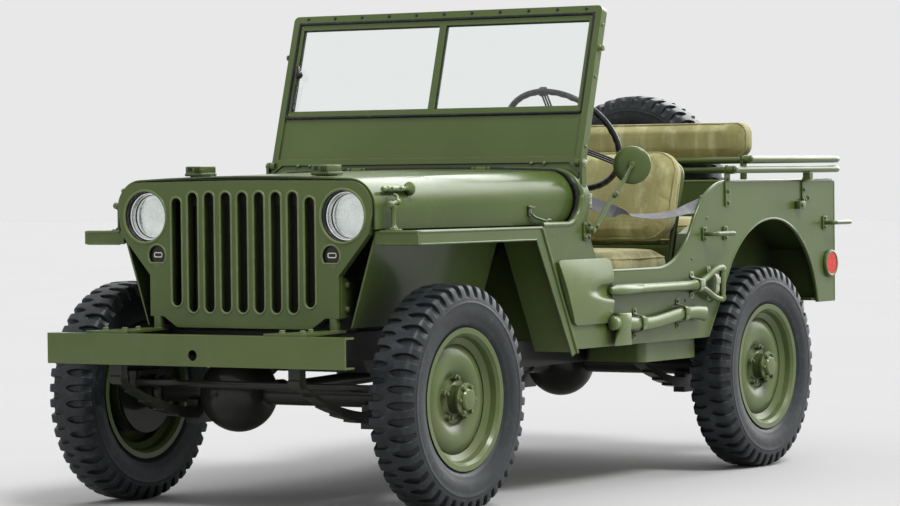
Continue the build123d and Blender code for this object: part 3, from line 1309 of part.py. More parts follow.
# Lift handles on the sides and round the rear corners
HANDLE_Z = TUB_TOP - 179.0
HANDLE_OUT = 46.0
HANDLE_REACH = 90.0
HANDLE_BAR = 8.0
HANDLE_SPAN = (REAR_AXLE_Y - 410.0, REAR_AXLE_Y - 255.0)
CORNER_Z = HANDLE_Z + 24.0
with BuildPart() as lift_handles:
    with BuildLine() as grip:
        FilletPolyline(
            (BODY_HALF, HANDLE_SPAN[0], HANDLE_Z),
            (BODY_HALF + HANDLE_OUT, HANDLE_SPAN[0], HANDLE_Z),
            (BODY_HALF + HANDLE_OUT, HANDLE_SPAN[1], HANDLE_Z),
            (BODY_HALF, HANDLE_SPAN[1], HANDLE_Z),
            radius=22,
        )
    with BuildSketch(Plane(origin=grip.line @ 0, z_dir=grip.line % 0)):
        Circle(HANDLE_BAR)
    sweep()
    with BuildLine() as grip:
        FilletPolyline(
            (BODY_HALF, TUB_REAR - HANDLE_REACH, CORNER_Z),
            (BODY_HALF + HANDLE_OUT, TUB_REAR - HANDLE_REACH, CORNER_Z),
            (BODY_HALF + HANDLE_OUT, TUB_REAR + HANDLE_OUT, CORNER_Z),
            (BODY_HALF - HANDLE_REACH, TUB_REAR + HANDLE_OUT, CORNER_Z),
            (BODY_HALF - HANDLE_REACH, TUB_REAR, CORNER_Z),
            radius=14,
        )
    with BuildSketch(Plane(origin=grip.line @ 0, z_dir=grip.line % 0)):
        Circle(HANDLE_BAR)
    sweep()
    mirror(about=Plane.YZ)
save(lift_handles.part, "lift_handles")

LAMP_ROWS = (
    # position on the rear panel: across, height, radius, depth
    (BODY_HALF - 120, TUB_BASE + 190, 46, 30),
    (BODY_HALF - 120, TUB_BASE + 80, 38, 14),
)
with BuildPart() as reflectors:
    with BuildSketch(side_plane(BODY_HALF)):
        with Locations((TUB_REAR - 48, TUB_BASE + 141)):
            Circle(43)
    extrude(amount=12)
    for across, height, radius, depth in LAMP_ROWS:
        with BuildSketch(cross_plane(TUB_REAR)):
            with Locations((across, height)):
                Circle(radius)
        extrude(amount=-depth)
    mirror(about=Plane.YZ)
save(reflectors.part, "reflectors")

with BuildPart() as spare_carrier:
    with BuildSketch(cross_plane(TUB_REAR)):
        with Locations((SPARE_X, SPARE_Z - 80)):
            RectangleRounded(230, 180, 30)
    extrude(amount=-8)
    with BuildSketch(cross_plane(TUB_REAR)):
        with Locations((SPARE_X, SPARE_Z - 62)):
            Circle(78)
    with BuildSketch(cross_plane(SPARE_Y + 8 - RUN_GAP)):
        with Locations((SPARE_X, SPARE_Z)):
            Circle(68)
    loft()
save(spare_carrier.part, "spare_carrier")

# Pioneer tools on the driver's side
TOOL_X = BODY_HALF + 4.0
SHOVEL_Z = SILL_BASE + 186.0
SHOVEL_NECK = HOOD_REAR + 175.0
SHOVEL_GRIP = REAR_AXLE_Y - 305.0
BLADE_HALF = 108.0
BLADE_FRONT = FENDER_BACK + (FENDER_TOP - SHOVEL_Z) * TAIL_SLOPE + 24.0
BLADE_TOP = (BLADE_FRONT - (BLADE_HALF - 12) * TAIL_SLOPE, SHOVEL_Z + BLADE_HALF - 12)
BLADE_BASE = (BLADE_FRONT + (BLADE_HALF - 12) * TAIL_SLOPE, SHOVEL_Z - BLADE_HALF + 12)
with BuildPart() as shovel:
    with BuildSketch(side_plane(TOOL_X)):
        with BuildLine():
            Polyline(
                (SHOVEL_NECK, SHOVEL_Z + 16),
                (SHOVEL_NECK - 12, SHOVEL_Z + BLADE_HALF - 8),
                (SHOVEL_NECK - 40, SHOVEL_Z + BLADE_HALF),
                (BLADE_TOP[0] + 16, SHOVEL_Z + BLADE_HALF),
                BLADE_TOP,
            )
            ThreePointArc(BLADE_TOP, (BLADE_FRONT - 9, SHOVEL_Z - 5), BLADE_BASE)
            Polyline(
                BLADE_BASE,
                (BLADE_BASE[0] + 16, SHOVEL_Z - BLADE_HALF),
                (SHOVEL_NECK - 40, SHOVEL_Z - BLADE_HALF),
                (SHOVEL_NECK - 12, SHOVEL_Z - BLADE_HALF + 8),
                (SHOVEL_NECK, SHOVEL_Z - 16),
                (SHOVEL_NECK, SHOVEL_Z + 16),
            )
        make_face()
    extrude(amount=6)
    with BuildSketch(cross_plane(SHOVEL_NECK - 60)):
        with Locations((TOOL_X + 19, SHOVEL_Z)):
            Circle(19)
    extrude(amount=SHOVEL_NECK + 30 - SHOVEL_GRIP)
    with BuildSketch(side_plane(TOOL_X + 8)):
        with BuildLine():
            Polyline(
                (SHOVEL_GRIP - 110, SHOVEL_Z + 12),
                (SHOVEL_GRIP - 40, SHOVEL_Z + 58),
                (SHOVEL_GRIP, SHOVEL_Z + 58),
                (SHOVEL_GRIP, SHOVEL_Z - 58),
                (SHOVEL_GRIP - 40, SHOVEL_Z - 58),
                (SHOVEL_GRIP - 110, SHOVEL_Z - 12),
                close=True,
            )
        make_face()
        with BuildLine():
            Polyline(
                (SHOVEL_GRIP - 72, SHOVEL_Z),
                (SHOVEL_GRIP - 36, SHOVEL_Z + 38),
                (SHOVEL_GRIP - 22, SHOVEL_Z + 38),
                (SHOVEL_GRIP - 22, SHOVEL_Z - 38),
                (SHOVEL_GRIP - 36, SHOVEL_Z - 38),
                close=True,
            )
        make_face(mode=Mode.SUBTRACT)
    extrude(amount=22)
    for clamp_y in (SHOVEL_NECK + 90, SHOVEL_GRIP - 190):
        with BuildSketch(side_plane(BODY_HALF)):
            with Locations((clamp_y, SHOVEL_Z)):
                Rectangle(26, 60)
        extrude(amount=8)
save(shovel.part, "shovel")

AXE_Z = SILL_BASE + 67.0
AXE_HEAD = HOOD_REAR + 215.0
HELVE_LENGTH = 640.0
with BuildPart() as axe:
    with BuildSketch(side_plane(TOOL_X + 4)):
        with BuildLine():
            Polyline(
                (AXE_HEAD - 36, AXE_Z + 40),
                (AXE_HEAD + 36, AXE_Z + 40),
                (AXE_HEAD + 34, AXE_Z - 20),
                (AXE_HEAD + 58, AXE_Z - 66),
                (AXE_HEAD - 58, AXE_Z - 66),
                (AXE_HEAD - 34, AXE_Z - 20),
                close=True,
            )
        make_face()
    extrude(amount=34)
    with BuildSketch(cross_plane(AXE_HEAD - 55)):
        with Locations((TOOL_X + 21, AXE_Z + 10)):
            Ellipse(12, 20)
    extrude(amount=-HELVE_LENGTH)
    for clamp_y in (AXE_HEAD + 120, AXE_HEAD + 420):
        with BuildSketch(side_plane(BODY_HALF)):
            with Locations((clamp_y, AXE_Z + 10)):
                Rectangle(30, 58)
        extrude(amount=14)
save(axe.part, "axe")

# Webbing straps across the door cuts
STRAP_FRONT = (PILLAR_Y + RUN_GAP, COWL_BASE - 22.0)
STRAP_REAR = (STEP_Y + 190.0, TUB_TOP - 91.0)
STRAP_SAG = 52.0
STRAP_MIDDLE = ((STRAP_FRONT[0] + STRAP_REAR[0]) / 2, (STRAP_FRONT[1] + STRAP_REAR[1]) / 2 - STRAP_SAG)
STRAP_WIDTH = 44.0
with BuildPart() as safety_straps:
    with BuildSketch(side_plane(INNER_HALF - RUN_GAP - 3)):
        with BuildLine():
            ThreePointArc(STRAP_FRONT, STRAP_MIDDLE, STRAP_REAR)
            Line(STRAP_REAR, (STRAP_REAR[0], STRAP_REAR[1] + STRAP_WIDTH))
            ThreePointArc(
                (STRAP_REAR[0], STRAP_REAR[1] + STRAP_WIDTH),
                (STRAP_MIDDLE[0], STRAP_MIDDLE[1] + STRAP_WIDTH),
                (STRAP_FRONT[0], STRAP_FRONT[1] + STRAP_WIDTH),
            )
            Line((STRAP_FRONT[0], STRAP_FRONT[1] + STRAP_WIDTH), STRAP_FRONT)
        make_face()
    extrude(amount=3)
    mirror(about=Plane.YZ)
save(safety_straps.part, "safety_straps")

# Top bows folded down to the rear, and the brackets that carry them
BOSS = 15.0
MAIN_PIN = 6.0
FRONT_PIN = 5.0
REST_HEIGHT = BOW_PIVOT_Z - BOW_RADIUS - RUN_GAP
with BuildPart() as bow_brackets:
    with BuildSketch(side_plane(BODY_HALF)):
        with Locations((BOW_PIVOT_Y + 4, BOW_PIVOT_Z - 64)):
            Rectangle(34, 128)
        with Locations((BOW_PIVOT_Y, BOW_PIVOT_Z)):
            Circle(17)
    extrude(amount=6)
    with BuildSketch(side_plane(BODY_HALF)):
        with Locations((BOW_PIVOT_Y, BOW_PIVOT_Z)):
            Circle(MAIN_PIN)
    extrude(amount=38)
    with BuildSketch(cross_plane(TUB_REAR - 275)):
        with BuildLine():
            Polyline(
                (BODY_HALF, TUB_TOP - 92),
                (BODY_HALF + 6, TUB_TOP - 92),
                (BODY_HALF + 6, TUB_TOP - 5),
                (BODY_HALF + 36, TUB_TOP + 9),
                (BODY_HALF + 36, REST_HEIGHT),
                (BODY_HALF + 8, REST_HEIGHT),
                (BODY_HALF + 8, TUB_TOP + 15),
                (BODY_HALF, TUB_TOP - 1),
                close=True,
            )
        make_face()
    extrude(amount=-26)
    mirror(about=Plane.YZ)
save(bow_brackets.part, "bow_brackets")


def bow_solid(pivot_y, height, pin):
    with BuildPart() as bow:
        with BuildLine() as run:
            FilletPolyline(
                (BOW_X, pivot_y, height),
                (BOW_X, BOW_BACK, height),
                (-BOW_X, BOW_BACK, height),
                (-BOW_X, pivot_y, height),
                radius=70,
            )
        with BuildSketch(Plane(origin=run.line @ 0, z_dir=run.line % 0)):
            Circle(BOW_RADIUS)
        sweep()
        for side in (-1, 1):
            with BuildSketch(side_plane(side * (BOW_X - 12))):
                with Locations((pivot_y, height)):
                    Circle(BOSS)
            extrude(amount=side * 24)
            with BuildSketch(side_plane(side * (BOW_X - 20))):
                with Locations((pivot_y, height)):
                    Circle(pin + RUN_GAP)
            extrude(amount=side * 40, mode=Mode.SUBTRACT)
    return bow.part


main_hoop = bow_solid(BOW_PIVOT_Y, BOW_PIVOT_Z, MAIN_PIN)
with BuildPart() as main_bow:
    add(main_hoop)
    for side in (-1, 1):
        with BuildSketch(side_plane(side * (BOW_X - 20))):
            with Locations((FRONT_BOW_Y, (BOW_PIVOT_Z + FRONT_BOW_Z) / 2)):
                Rectangle(26, FRONT_BOW_Z - BOW_PIVOT_Z)
            with Locations((FRONT_BOW_Y, FRONT_BOW_Z)):
                Circle(13)
        extrude(amount=side * 6)
        with BuildSketch(side_plane(side * (BOW_X - 20))):
            with Locations((FRONT_BOW_Y, BOW_PIVOT_Z)):
                Rectangle(26, 14)
        extrude(amount=side * 16)
        with BuildSketch(side_plane(side * (BOW_X - 20))):
            with Locations((FRONT_BOW_Y, FRONT_BOW_Z)):
                Circle(FRONT_PIN)
        extrude(amount=side * 34)
save(main_bow.part, "main_bow")
save(bow_solid(FRONT_BOW_Y, FRONT_BOW_Z, FRONT_PIN), "front_bow")
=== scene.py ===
import json
import math

import bmesh
import bpy
from mathutils import Matrix, Vector
from mathutils.bvhtree import BVHTree


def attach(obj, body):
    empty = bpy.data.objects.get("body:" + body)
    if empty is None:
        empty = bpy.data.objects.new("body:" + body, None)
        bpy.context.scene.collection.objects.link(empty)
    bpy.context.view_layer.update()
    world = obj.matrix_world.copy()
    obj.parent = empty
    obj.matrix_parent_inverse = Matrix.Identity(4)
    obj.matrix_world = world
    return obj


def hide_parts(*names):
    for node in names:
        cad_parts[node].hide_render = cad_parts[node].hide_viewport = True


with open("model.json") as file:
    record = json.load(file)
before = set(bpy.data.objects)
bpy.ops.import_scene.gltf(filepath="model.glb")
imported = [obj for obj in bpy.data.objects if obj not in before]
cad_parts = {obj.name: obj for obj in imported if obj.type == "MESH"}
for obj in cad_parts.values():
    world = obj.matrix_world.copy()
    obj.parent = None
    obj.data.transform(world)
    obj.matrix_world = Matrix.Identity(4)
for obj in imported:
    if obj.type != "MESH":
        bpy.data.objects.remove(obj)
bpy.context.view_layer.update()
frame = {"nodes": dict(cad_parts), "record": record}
NODES = frame["nodes"]
SLOT_OF = {row["node"]: row["material_slot"] for row in frame["record"]["subparts"]}

# Sizes in metres. The front faces -Y, the driver's side is +X, the ground is Z = 0.
TYRE_RADIUS = 0.358
WHEEL_X = 0.613
FRONT_AXLE_Y = -1.186
REAR_AXLE_Y = 0.846
BODY_HALF = 0.640
GRILLE_Y = -1.413
LAMP = (0.379, 0.928)
MARKER = (0.334, 0.805)
SCREEN_PIVOT = (-0.373, 1.087)
SCREEN_TILT = math.radians(16.5)

X_AXIS, Y_AXIS, Z_AXIS = Vector((1, 0, 0)), Vector((0, 1, 0)), Vector((0, 0, 1))
# Colour of the painted shade in hollows.
HOLLOW_SHADE = (0.004, 0.0045, 0.004, 1.0)
EDGE_SPAN = (0.995, 0.86)  # cosine between the face and its rounded normal
HOLLOW_SPAN = (0.12, 0.62)  # open share of the view from a point
TINY = 1e-5


# Shader helpers

def node(tree, kind, inputs=(), **settings):
    """A shader node; each input is a constant or another node's output."""
    made = tree.nodes.new("ShaderNode" + kind)
    for key, value in settings.items():
        setattr(made, key, value)
    for key, value in dict(inputs).items():
        if isinstance(value, bpy.types.NodeSocket):
            tree.links.new(value, made.inputs[key])
        else:
            made.inputs[key].default_value = value
    return made


def linear(*rgb):
    """Screen colour, 0 to 255, as the linear colour that a shader takes."""
    made = [c / 255 / 12.92 if c <= 10 else ((c / 255 + 0.055) / 1.055) ** 2.4 for c in rgb]
    return (*made, 1.0)


def blank(name, **sockets):
    mat = bpy.data.materials.new(name)
    mat.use_nodes = True
    shader = mat.node_tree.nodes["Principled BSDF"]
    for key, value in sockets.items():
        shader.inputs[key.replace("_", " ")].default_value = value
    return mat, mat.node_tree, shader


def wire(shader, **outputs):
    for key, output in outputs.items():
        shader.id_data.links.new(output, shader.inputs[key.replace("_", " ")])


def place_noise(tree, scale, detail=4.0, rough=0.55, stretch=(1, 1, 1)):
    """A noise over the object's own coordinates."""
    coords = node(tree, "TexCoord").outputs["Object"]
    mapped = node(tree, "Mapping", {"Vector": coords, "Scale": stretch}).outputs["Vector"]
    noise = node(
        tree, "TexNoise", {"Vector": mapped, "Scale": scale, "Detail": detail, "Roughness": rough}
    )
    return noise.outputs["Fac"]


def span(tree, value, low, high, to_low=0.0, to_high=1.0):
    ends = {"Value": value, "From Min": low, "From Max": high, "To Min": to_low, "To Max": to_high}
    return node(tree, "MapRange", ends).outputs["Result"]


def mix_colour(tree, share, first, second, mode="MIX"):
    mixed = tree.nodes.new("ShaderNodeMix")
    mixed.data_type = "RGBA"
    mixed.blend_type = mode
    for number, value in ((0, share), (6, first), (7, second)):
        if isinstance(value, bpy.types.NodeSocket):
            tree.links.new(value, mixed.inputs[number])
        else:
            mixed.inputs[number].default_value = value
    return mixed.outputs[2]


def maths(tree, operation, first, second=0.0):
    return node(tree, "Math", {0: first, 1: second}, operation=operation).outputs["Value"]


def rounded_normal(tree, radius):
    return node(tree, "Bevel", {"Radius": radius}, samples=4).outputs["Normal"]


def edge_share(tree, rounded):
    """Near 1 along sharp edges, 0 on flats."""
    flat = node(tree, "NewGeometry").outputs["Normal"]
    turned = node(tree, "VectorMath", {0: rounded, 1: flat}, operation="DOT_PRODUCT")
    return span(tree, turned.outputs["Value"], *EDGE_SPAN)


def bump(tree, height, distance, normal=None, strength=1.0):
    inputs = {"Height": height, "Distance": distance, "Strength": strength}
    if normal is not None:
        inputs["Normal"] = normal
    return node(tree, "Bump", inputs).outputs["Normal"]


def painted_hollow_shade(tree, colour, reach=0.40):
    """Paints shade into hollows: the colour goes dark where little of the view from a point is
    open. Darkens hollows, where grime gathers, to come near the photo's deep shade.
    """
    open_share = node(tree, "AmbientOcclusion", {"Distance": reach}, samples=6).outputs["AO"]
    return mix_colour(tree, span(tree, open_share, *HOLLOW_SPAN), HOLLOW_SHADE, colour)


def paint(name, dark, light, worn, dusty, rough, edge=0.0025, gloss=0.36):
    """Sprayed paint: cloudy tone, rubbed edges, dust low down, painted shade in hollows, a fine
    orange-peel skin.
    """
    mat, tree, shader = blank(name, Specular_IOR_Level=0.22, Coat_Weight=gloss, Coat_Roughness=0.14)
    colour = mix_colour(tree, span(tree, place_noise(tree, 1.7, 6), 0.32, 0.70), dark, light)
    streak = span(tree, place_noise(tree, 9.0, 5, 0.6, (1, 1, 0.15)), 0.45, 0.75, 0.0, 0.35)
    colour = mix_colour(tree, streak, colour, light)
    rounded = rounded_normal(tree, edge)
    rub = maths(
        tree, "MULTIPLY", edge_share(tree, rounded),
        span(tree, place_noise(tree, 22, 5), 0.42, 0.62)
    )
    colour = mix_colour(tree, maths(tree, "MULTIPLY", rub, 0.55), colour, worn)
    height = node(tree, "SeparateXYZ", {0: node(tree, "TexCoord").outputs["Object"]}).outputs["Z"]
    low_down = span(tree, height, 0.75, 0.15, 0.0, 0.55)
    dust = maths(tree, "MULTIPLY", low_down, span(tree, place_noise(tree, 6, 7, 0.65), 0.35, 0.75))
    # Painted shade: hollows darkened in the paint's colour.
    colour = painted_hollow_shade(tree, mix_colour(tree, dust, colour, dusty))
    wire(shader, Base_Color=colour)
    patches = span(tree, place_noise(tree, 4.5, 5), 0.3, 0.7, rough - 0.06, rough + 0.10)
    wire(shader, Roughness=maths(tree, "ADD", patches, maths(tree, "MULTIPLY", dust, 0.3)))
    skin = place_noise(tree, 420, 2, 0.5)
    wire(shader, Normal=bump(tree, skin, 0.0004, rounded, 0.25))
    return mat


def rubber(name, dark, light, rough):
    mat, tree, shader = blank(name, Specular_IOR_Level=0.35)
    colour = mix_colour(tree, span(tree, place_noise(tree, 7, 6, 0.6), 0.3, 0.72), dark, light)
    rounded = rounded_normal(tree, 0.002)
    grain = place_noise(tree, 260, 4, 0.6)
    scuff = span(tree, place_noise(tree, 38, 6, 0.7), 0.52, 0.72, 0.0, 0.35)
    # Painted shade: hollows darkened in the rubber's colour.
    colour = painted_hollow_shade(tree, mix_colour(tree, scuff, colour, linear(74, 80, 84)), 0.16)
    wire(shader, Base_Color=colour)
    wire(shader, Roughness=span(tree, grain, 0.3, 0.7, rough - 0.08, rough + 0.12))
    wire(shader, Normal=bump(tree, grain, 0.0008, rounded, 0.5))
    return mat


def weave_height(tree, pitch):
    """Threads crossing at the given pitch, on whichever way a face looks."""
    coords = node(tree, "TexCoord").outputs["Object"]
    total = None
    for axis in ("X", "Y", "Z"):
        wave = node(
            tree, "TexWave", {"Vector": coords, "Scale": 0.314 / pitch}, bands_direction=axis
        )
        band = wave.outputs["Fac"]
        total = band if total is None else maths(tree, "ADD", total, band)
    return maths(tree, "MULTIPLY", total, 0.33)


def canvas(name, dark, light, faded, pitch, rough=0.85):
    """Woven duck: thread bump, patchy wear, paler where it is rubbed."""
    mat, tree, shader = blank(name, Sheen_Weight=0.25, Sheen_Roughness=0.5, Specular_IOR_Level=0.25)
    weave = weave_height(tree, pitch)
    colour = mix_colour(
        tree, span(tree, place_noise(tree, 5.5, 7, 0.62, (1, 1, 0.45)), 0.30, 0.72), dark, light
    )
    colour = mix_colour(
        tree, span(tree, place_noise(tree, 17, 6, 0.6, (1, 1, 0.3)), 0.5, 0.78, 0.0, 0.7), colour,
        faded
    )
    threads = mix_colour(tree, span(tree, weave, 0.25, 0.75, 0.0, 0.35), colour, dark)
    wire(shader, Base_Color=threads)
    wire(shader, Roughness=span(tree, weave, 0.2, 0.8, rough - 0.08, rough + 0.08))
    creases = place_noise(tree, 26, 5, 0.6, (1, 1, 0.35))
    soft = bump(tree, creases, 0.006, None, 0.35)
    wire(shader, Normal=bump(tree, weave, 0.0009, soft, 0.7))
    return mat


def plain_metal(name, dark, light, rough, metal, edge=0.0012):
    """Bare, cast or plated metal with patchy roughness."""
    mat, tree, shader = blank(name, Metallic=metal)
    colour = mix_colour(tree, span(tree, place_noise(tree, 14, 6, 0.6), 0.3, 0.7), dark, light)
    wire(shader, Base_Color=colour)
    grain = place_noise(tree, 120, 5, 0.6)
    wire(shader, Roughness=span(tree, grain, 0.3, 0.7, rough - 0.07, rough + 0.1))
    wire(shader, Normal=bump(tree, grain, 0.0006, rounded_normal(tree, edge), 0.35))
    return mat


def pane(name, tint, rough=0.0):
    """Flat glass with a faint film of dust."""
    mat, tree, shader = blank(name, Transmission_Weight=1.0, IOR=1.45, Base_Color=tint)
    film = span(tree, place_noise(tree, 5, 6, 0.6), 0.35, 0.8, rough, rough + 0.03)
    wire(shader, Roughness=film)
    return mat


def moulded_lens(name, deep, bright):
    """Coloured lens with pressed beads and a faint painted glow."""
    mat, tree, shader = blank(name, Roughness=0.20, Coat_Weight=0.2, Specular_IOR_Level=0.3)
    coords = node(tree, "TexCoord").outputs["Object"]
    cells = node(tree, "TexVoronoi", {"Vector": coords, "Scale": 130.0}).outputs["Distance"]
    wire(shader, Base_Color=mix_colour(tree, span(tree, cells, 0.0, 0.6), bright, deep))
    wire(shader, Normal=bump(tree, cells, 0.001, None, 0.5))
    # Painted glow: the lens gives off faint light in its bright colour.
    shader.inputs["Emission Color"].default_value = bright
    shader.inputs["Emission Strength"].default_value = 0.06
    return mat


OLIVE_DARK, OLIVE_LIGHT = linear(66, 82, 37), linear(76, 92, 44)
OLIVE_WORN, DUST = linear(150, 156, 118), linear(116, 112, 84)
MATERIALS = {
    "body_paint": paint("olive_paint", OLIVE_DARK, OLIVE_LIGHT, OLIVE_WORN, DUST, 0.32),
    # Near black: the frame's own dark paint, made darker still as painted shade under the car.
    "chassis_paint": paint(
        "chassis_paint", linear(20, 24, 18), linear(28, 32, 23), linear(80, 84, 66),
        linear(52, 50, 40), 0.48
    ),
    "tool_paint": paint(
        "tool_paint", linear(82, 97, 52), linear(98, 112, 66), linear(164, 170, 132), DUST, 0.28
    ),
    "tyre_rubber": rubber("tyre_rubber", linear(15, 19, 21), linear(32, 38, 41), 0.44),
    "seat_canvas": canvas(
        "seat_canvas", linear(126, 120, 74), linear(168, 163, 112), linear(212, 209, 170), 0.0024
    ),
    "webbing": canvas(
        "webbing", linear(56, 58, 58), linear(94, 97, 99), linear(130, 133, 135), 0.0018, 0.8
    ),
    "clear_glass": pane("clear_glass", linear(250, 254, 252)),
    "lamp_black": paint(
        "lamp_black", linear(14, 15, 15), linear(24, 25, 25), linear(70, 72, 70),
        linear(60, 58, 50), 0.42
    ),
    "cast_metal": plain_metal("cast_metal", linear(40, 44, 42), linear(66, 70, 64), 0.5, 0.4),
    "exhaust_steel": plain_metal(
        "exhaust_steel", linear(66, 56, 48), linear(104, 92, 80), 0.55, 0.7
    ),
    "wheel_black": rubber("wheel_black", linear(14, 14, 15), linear(24, 24, 26), 0.30),
    "red_lens": moulded_lens("red_lens", linear(165, 16, 8), linear(228, 52, 24)),
}
CHROME = plain_metal("chrome", linear(222, 224, 226), linear(240, 240, 238), 0.09, 1.0)
BOLT = plain_metal("bolt_steel", linear(118, 124, 104), linear(158, 164, 142), 0.34, 0.55)
BLACK_SEAL = rubber("black_seal", linear(12, 13, 14), linear(24, 25, 28), 0.28)
MIRROR_GLASS = plain_metal("mirror_glass", linear(226, 230, 232), linear(236, 238, 240), 0.07, 1.0)
LAMP_BOWL = plain_metal("lamp_bowl", linear(212, 213, 214), linear(238, 238, 236), 0.12, 1.0)
CLIP_METAL = plain_metal("clip_metal", linear(118, 124, 98), linear(150, 156, 128), 0.38, 0.15)
DIAL_FACE = plain_metal("dial_face", linear(22, 24, 24), linear(34, 36, 36), 0.4, 0.0)
DIAL_MARK = plain_metal("dial_mark", linear(214, 210, 190), linear(232, 230, 214), 0.5, 0.0)

for name, obj in NODES.items():
    if not obj.material_slots:
        obj.data.materials.append(MATERIALS[SLOT_OF[name]])
    for holder in obj.material_slots:
        holder.material = MATERIALS[SLOT_OF[name]]


# Mesh helpers

def mm(*values):
    """Millimetre values as (a, b) pairs in metres."""
    return [(a / 1000, b / 1000) for a, b in zip(values[::2], values[1::2])]


def facing(origin, normal, up=Z_AXIS):
    """A frame at origin whose Z is the normal and whose Y leans to up."""
    z = Vector(normal).normalized()
    x = Vector(up).cross(z)
    if x.length < TINY:
        x = X_AXIS.copy()
    x.normalize()
    made = Matrix((x, z.cross(x), z)).transposed().to_4x4()
    made.translation = Vector(origin)
    return made


def polar(radius, angle, height=0.0):
    return Vector((radius * math.cos(angle), radius * math.sin(angle), height))


def loop_faces(bm, rings, closed):
    pairs = list(zip(rings, rings[1:])) + ([(rings[-1], rings[0])] if closed else [])
    for low, high in pairs:
        count = max(len(low), len(high))
        for i in range(count):
            j = (i + 1) % count
            corners = (
                low[i % len(low)], low[j % len(low)], high[j % len(high)], high[i % len(high)]
            )
            corners = list(dict.fromkeys(corners))
            if len(corners) > 2:
                bm.faces.new(corners)
    if not closed:
        for ring, turn in ((rings[0], -1), (rings[-1], 1)):
            if len(ring) > 2:
                bm.faces.new(ring[::turn])


def ring_of(bm, place, outline, height=0.0, wide=1.0, tall=1.0):
    """New points for an (x, y) outline in the frame, at a height and stretched."""
    return [bm.verts.new(place @ Vector((x * wide, y * tall, height))) for x, y in outline]


def lathe(bm, place, profile, steps=24, closed=False, turn=0.0):
    """Turns (radius, height) pairs round the frame's Z."""
    rings = []
    for radius, height in profile:
        count = steps if radius > TINY else 1
        angles = [turn + 2 * math.pi * i / steps for i in range(count)]
        rings.append([bm.verts.new(place @ polar(radius, a, height)) for a in angles])
    loop_faces(bm, rings, closed)


def block(bm, place, size, edge=0.002):
    """A box with eased edges, at a point or in a frame."""
    place = place if isinstance(place, Matrix) else Matrix.Translation(place)
    made = bmesh.ops.create_cube(bm, size=1.0, matrix=place @ Matrix.Diagonal((*size, 1.0)))
    edges = dict.fromkeys(e for v in made["verts"] for e in v.link_edges)
    bmesh.ops.bevel(bm, geom=list(edges), offset=edge, segments=2, profile=0.6, affect="EDGES")


def prism(bm, place, outline, depth, edge=0.0):
    """A flat outline in the frame's XY, drawn out along its Z."""
    low, high = ring_of(bm, place, outline), ring_of(bm, place, outline, depth)
    loop_faces(bm, [low, high], False)
    if edge:
        rims = [
            e for ring in (low, high) for v in ring for e in v.link_edges
            if all(w in ring for w in e.verts)
        ]
        bmesh.ops.bevel(
            bm, geom=list(dict.fromkeys(rims)), offset=edge, segments=2, profile=0.6, affect="EDGES"
        )


def curve_points(points, parts=6):
    """Points along a smooth line through the given ones."""
    pts = [Vector(p) for p in points]
    ends = [2 * pts[0] - pts[1]] + pts + [2 * pts[-1] - pts[-2]]
    out = []
    for a, b, c, d in zip(ends, ends[1:], ends[2:], ends[3:]):
        for i in range(parts):
            t = i / parts
            bend = 2 * b + (c - a) * t + (2 * a - 5 * b + 4 * c - d) * t * t
            out.append(0.5 * (bend + (3 * b - 3 * c + d - a) * t ** 3))
    return out + [pts[-1]]


def rounded_path(points, radius, parts=6):
    """The polyline with its inner corners turned on arcs."""
    pts = [Vector(p) for p in points]
    out = [pts[0]]
    for before, corner, after in zip(pts, pts[1:], pts[2:]):
        back, ahead = (before - corner), (after - corner)
        reach = min(radius, back.length * 0.49, ahead.length * 0.49)
        start, stop = corner + back.normalized() * reach, corner + ahead.normalized() * reach
        for i in range(parts + 1):
            t = i / parts
            out.append((1 - t) ** 2 * start + 2 * t * (1 - t) * corner + t ** 2 * stop)
    return out + [pts[-1]]


def frames_along(points, closed=False, side=None):
    """Frames whose Z runs along the line; X follows side where it is given."""
    pts = [Vector(p) for p in points]
    made = []
    last = None
    for i, point in enumerate(pts):
        ahead = pts[(i + 1) % len(pts)] if closed or i + 1 < len(pts) else point
        behind = pts[i - 1] if closed or i else point
        z = (ahead - behind).normalized()
        if side is not None:
            x = Vector(side)
        elif last is not None:
            x = last
        else:
            x = X_AXIS if abs(z.x) < 0.9 else Y_AXIS
        x = (x - z * x.dot(z)).normalized()
        last = x
        spot = Matrix((x, z.cross(x), z)).transposed().to_4x4()
        spot.translation = point
        made.append(spot)
    return made


def sweep(bm, points, section, closed=False, side=None):
    """Draws a closed (x, y) section along a line of points."""
    rings = [ring_of(bm, spot, section) for spot in frames_along(points, closed, side)]
    loop_faces(bm, rings, closed)


def circle(radius, steps=10):
    turns = [2 * math.pi * i / steps for i in range(steps)]
    return [(radius * math.cos(a), radius * math.sin(a)) for a in turns]


def rounded_box(width, height, corner, parts=3):
    """Outline of a rectangle with turned corners."""
    out = []
    for sx, sy, start in ((1, 1, 0), (-1, 1, 90), (-1, -1, 180), (1, -1, 270)):
        for i in range(parts + 1):
            a = math.radians(start + 90 * i / parts)
            x = sx * (width / 2 - corner) + corner * math.cos(a)
            out.append((x, sy * (height / 2 - corner) + corner * math.sin(a)))
    return out


def tube(bm, points, radius, steps=10, closed=False):
    sweep(bm, points, circle(radius, steps), closed)


def bolt(bm, at, normal, size=0.007, height=0.006):
    """A washer and a six-sided head, domed on top."""
    washer = [
        (0.0, 0.0), (size * 1.35, 0.0), (size * 1.35, height * 0.22), (size * 0.9, height * 0.26),
        (0.0, height * 0.26)
    ]
    head = [
        (0.0, height * 0.2), (size, height * 0.2), (size, height * 0.82), (size * 0.82, height),
        (0.0, height * 1.05)
    ]
    place = facing(at, normal)
    lathe(bm, place, washer, 14)
    lathe(bm, place, head, 6)


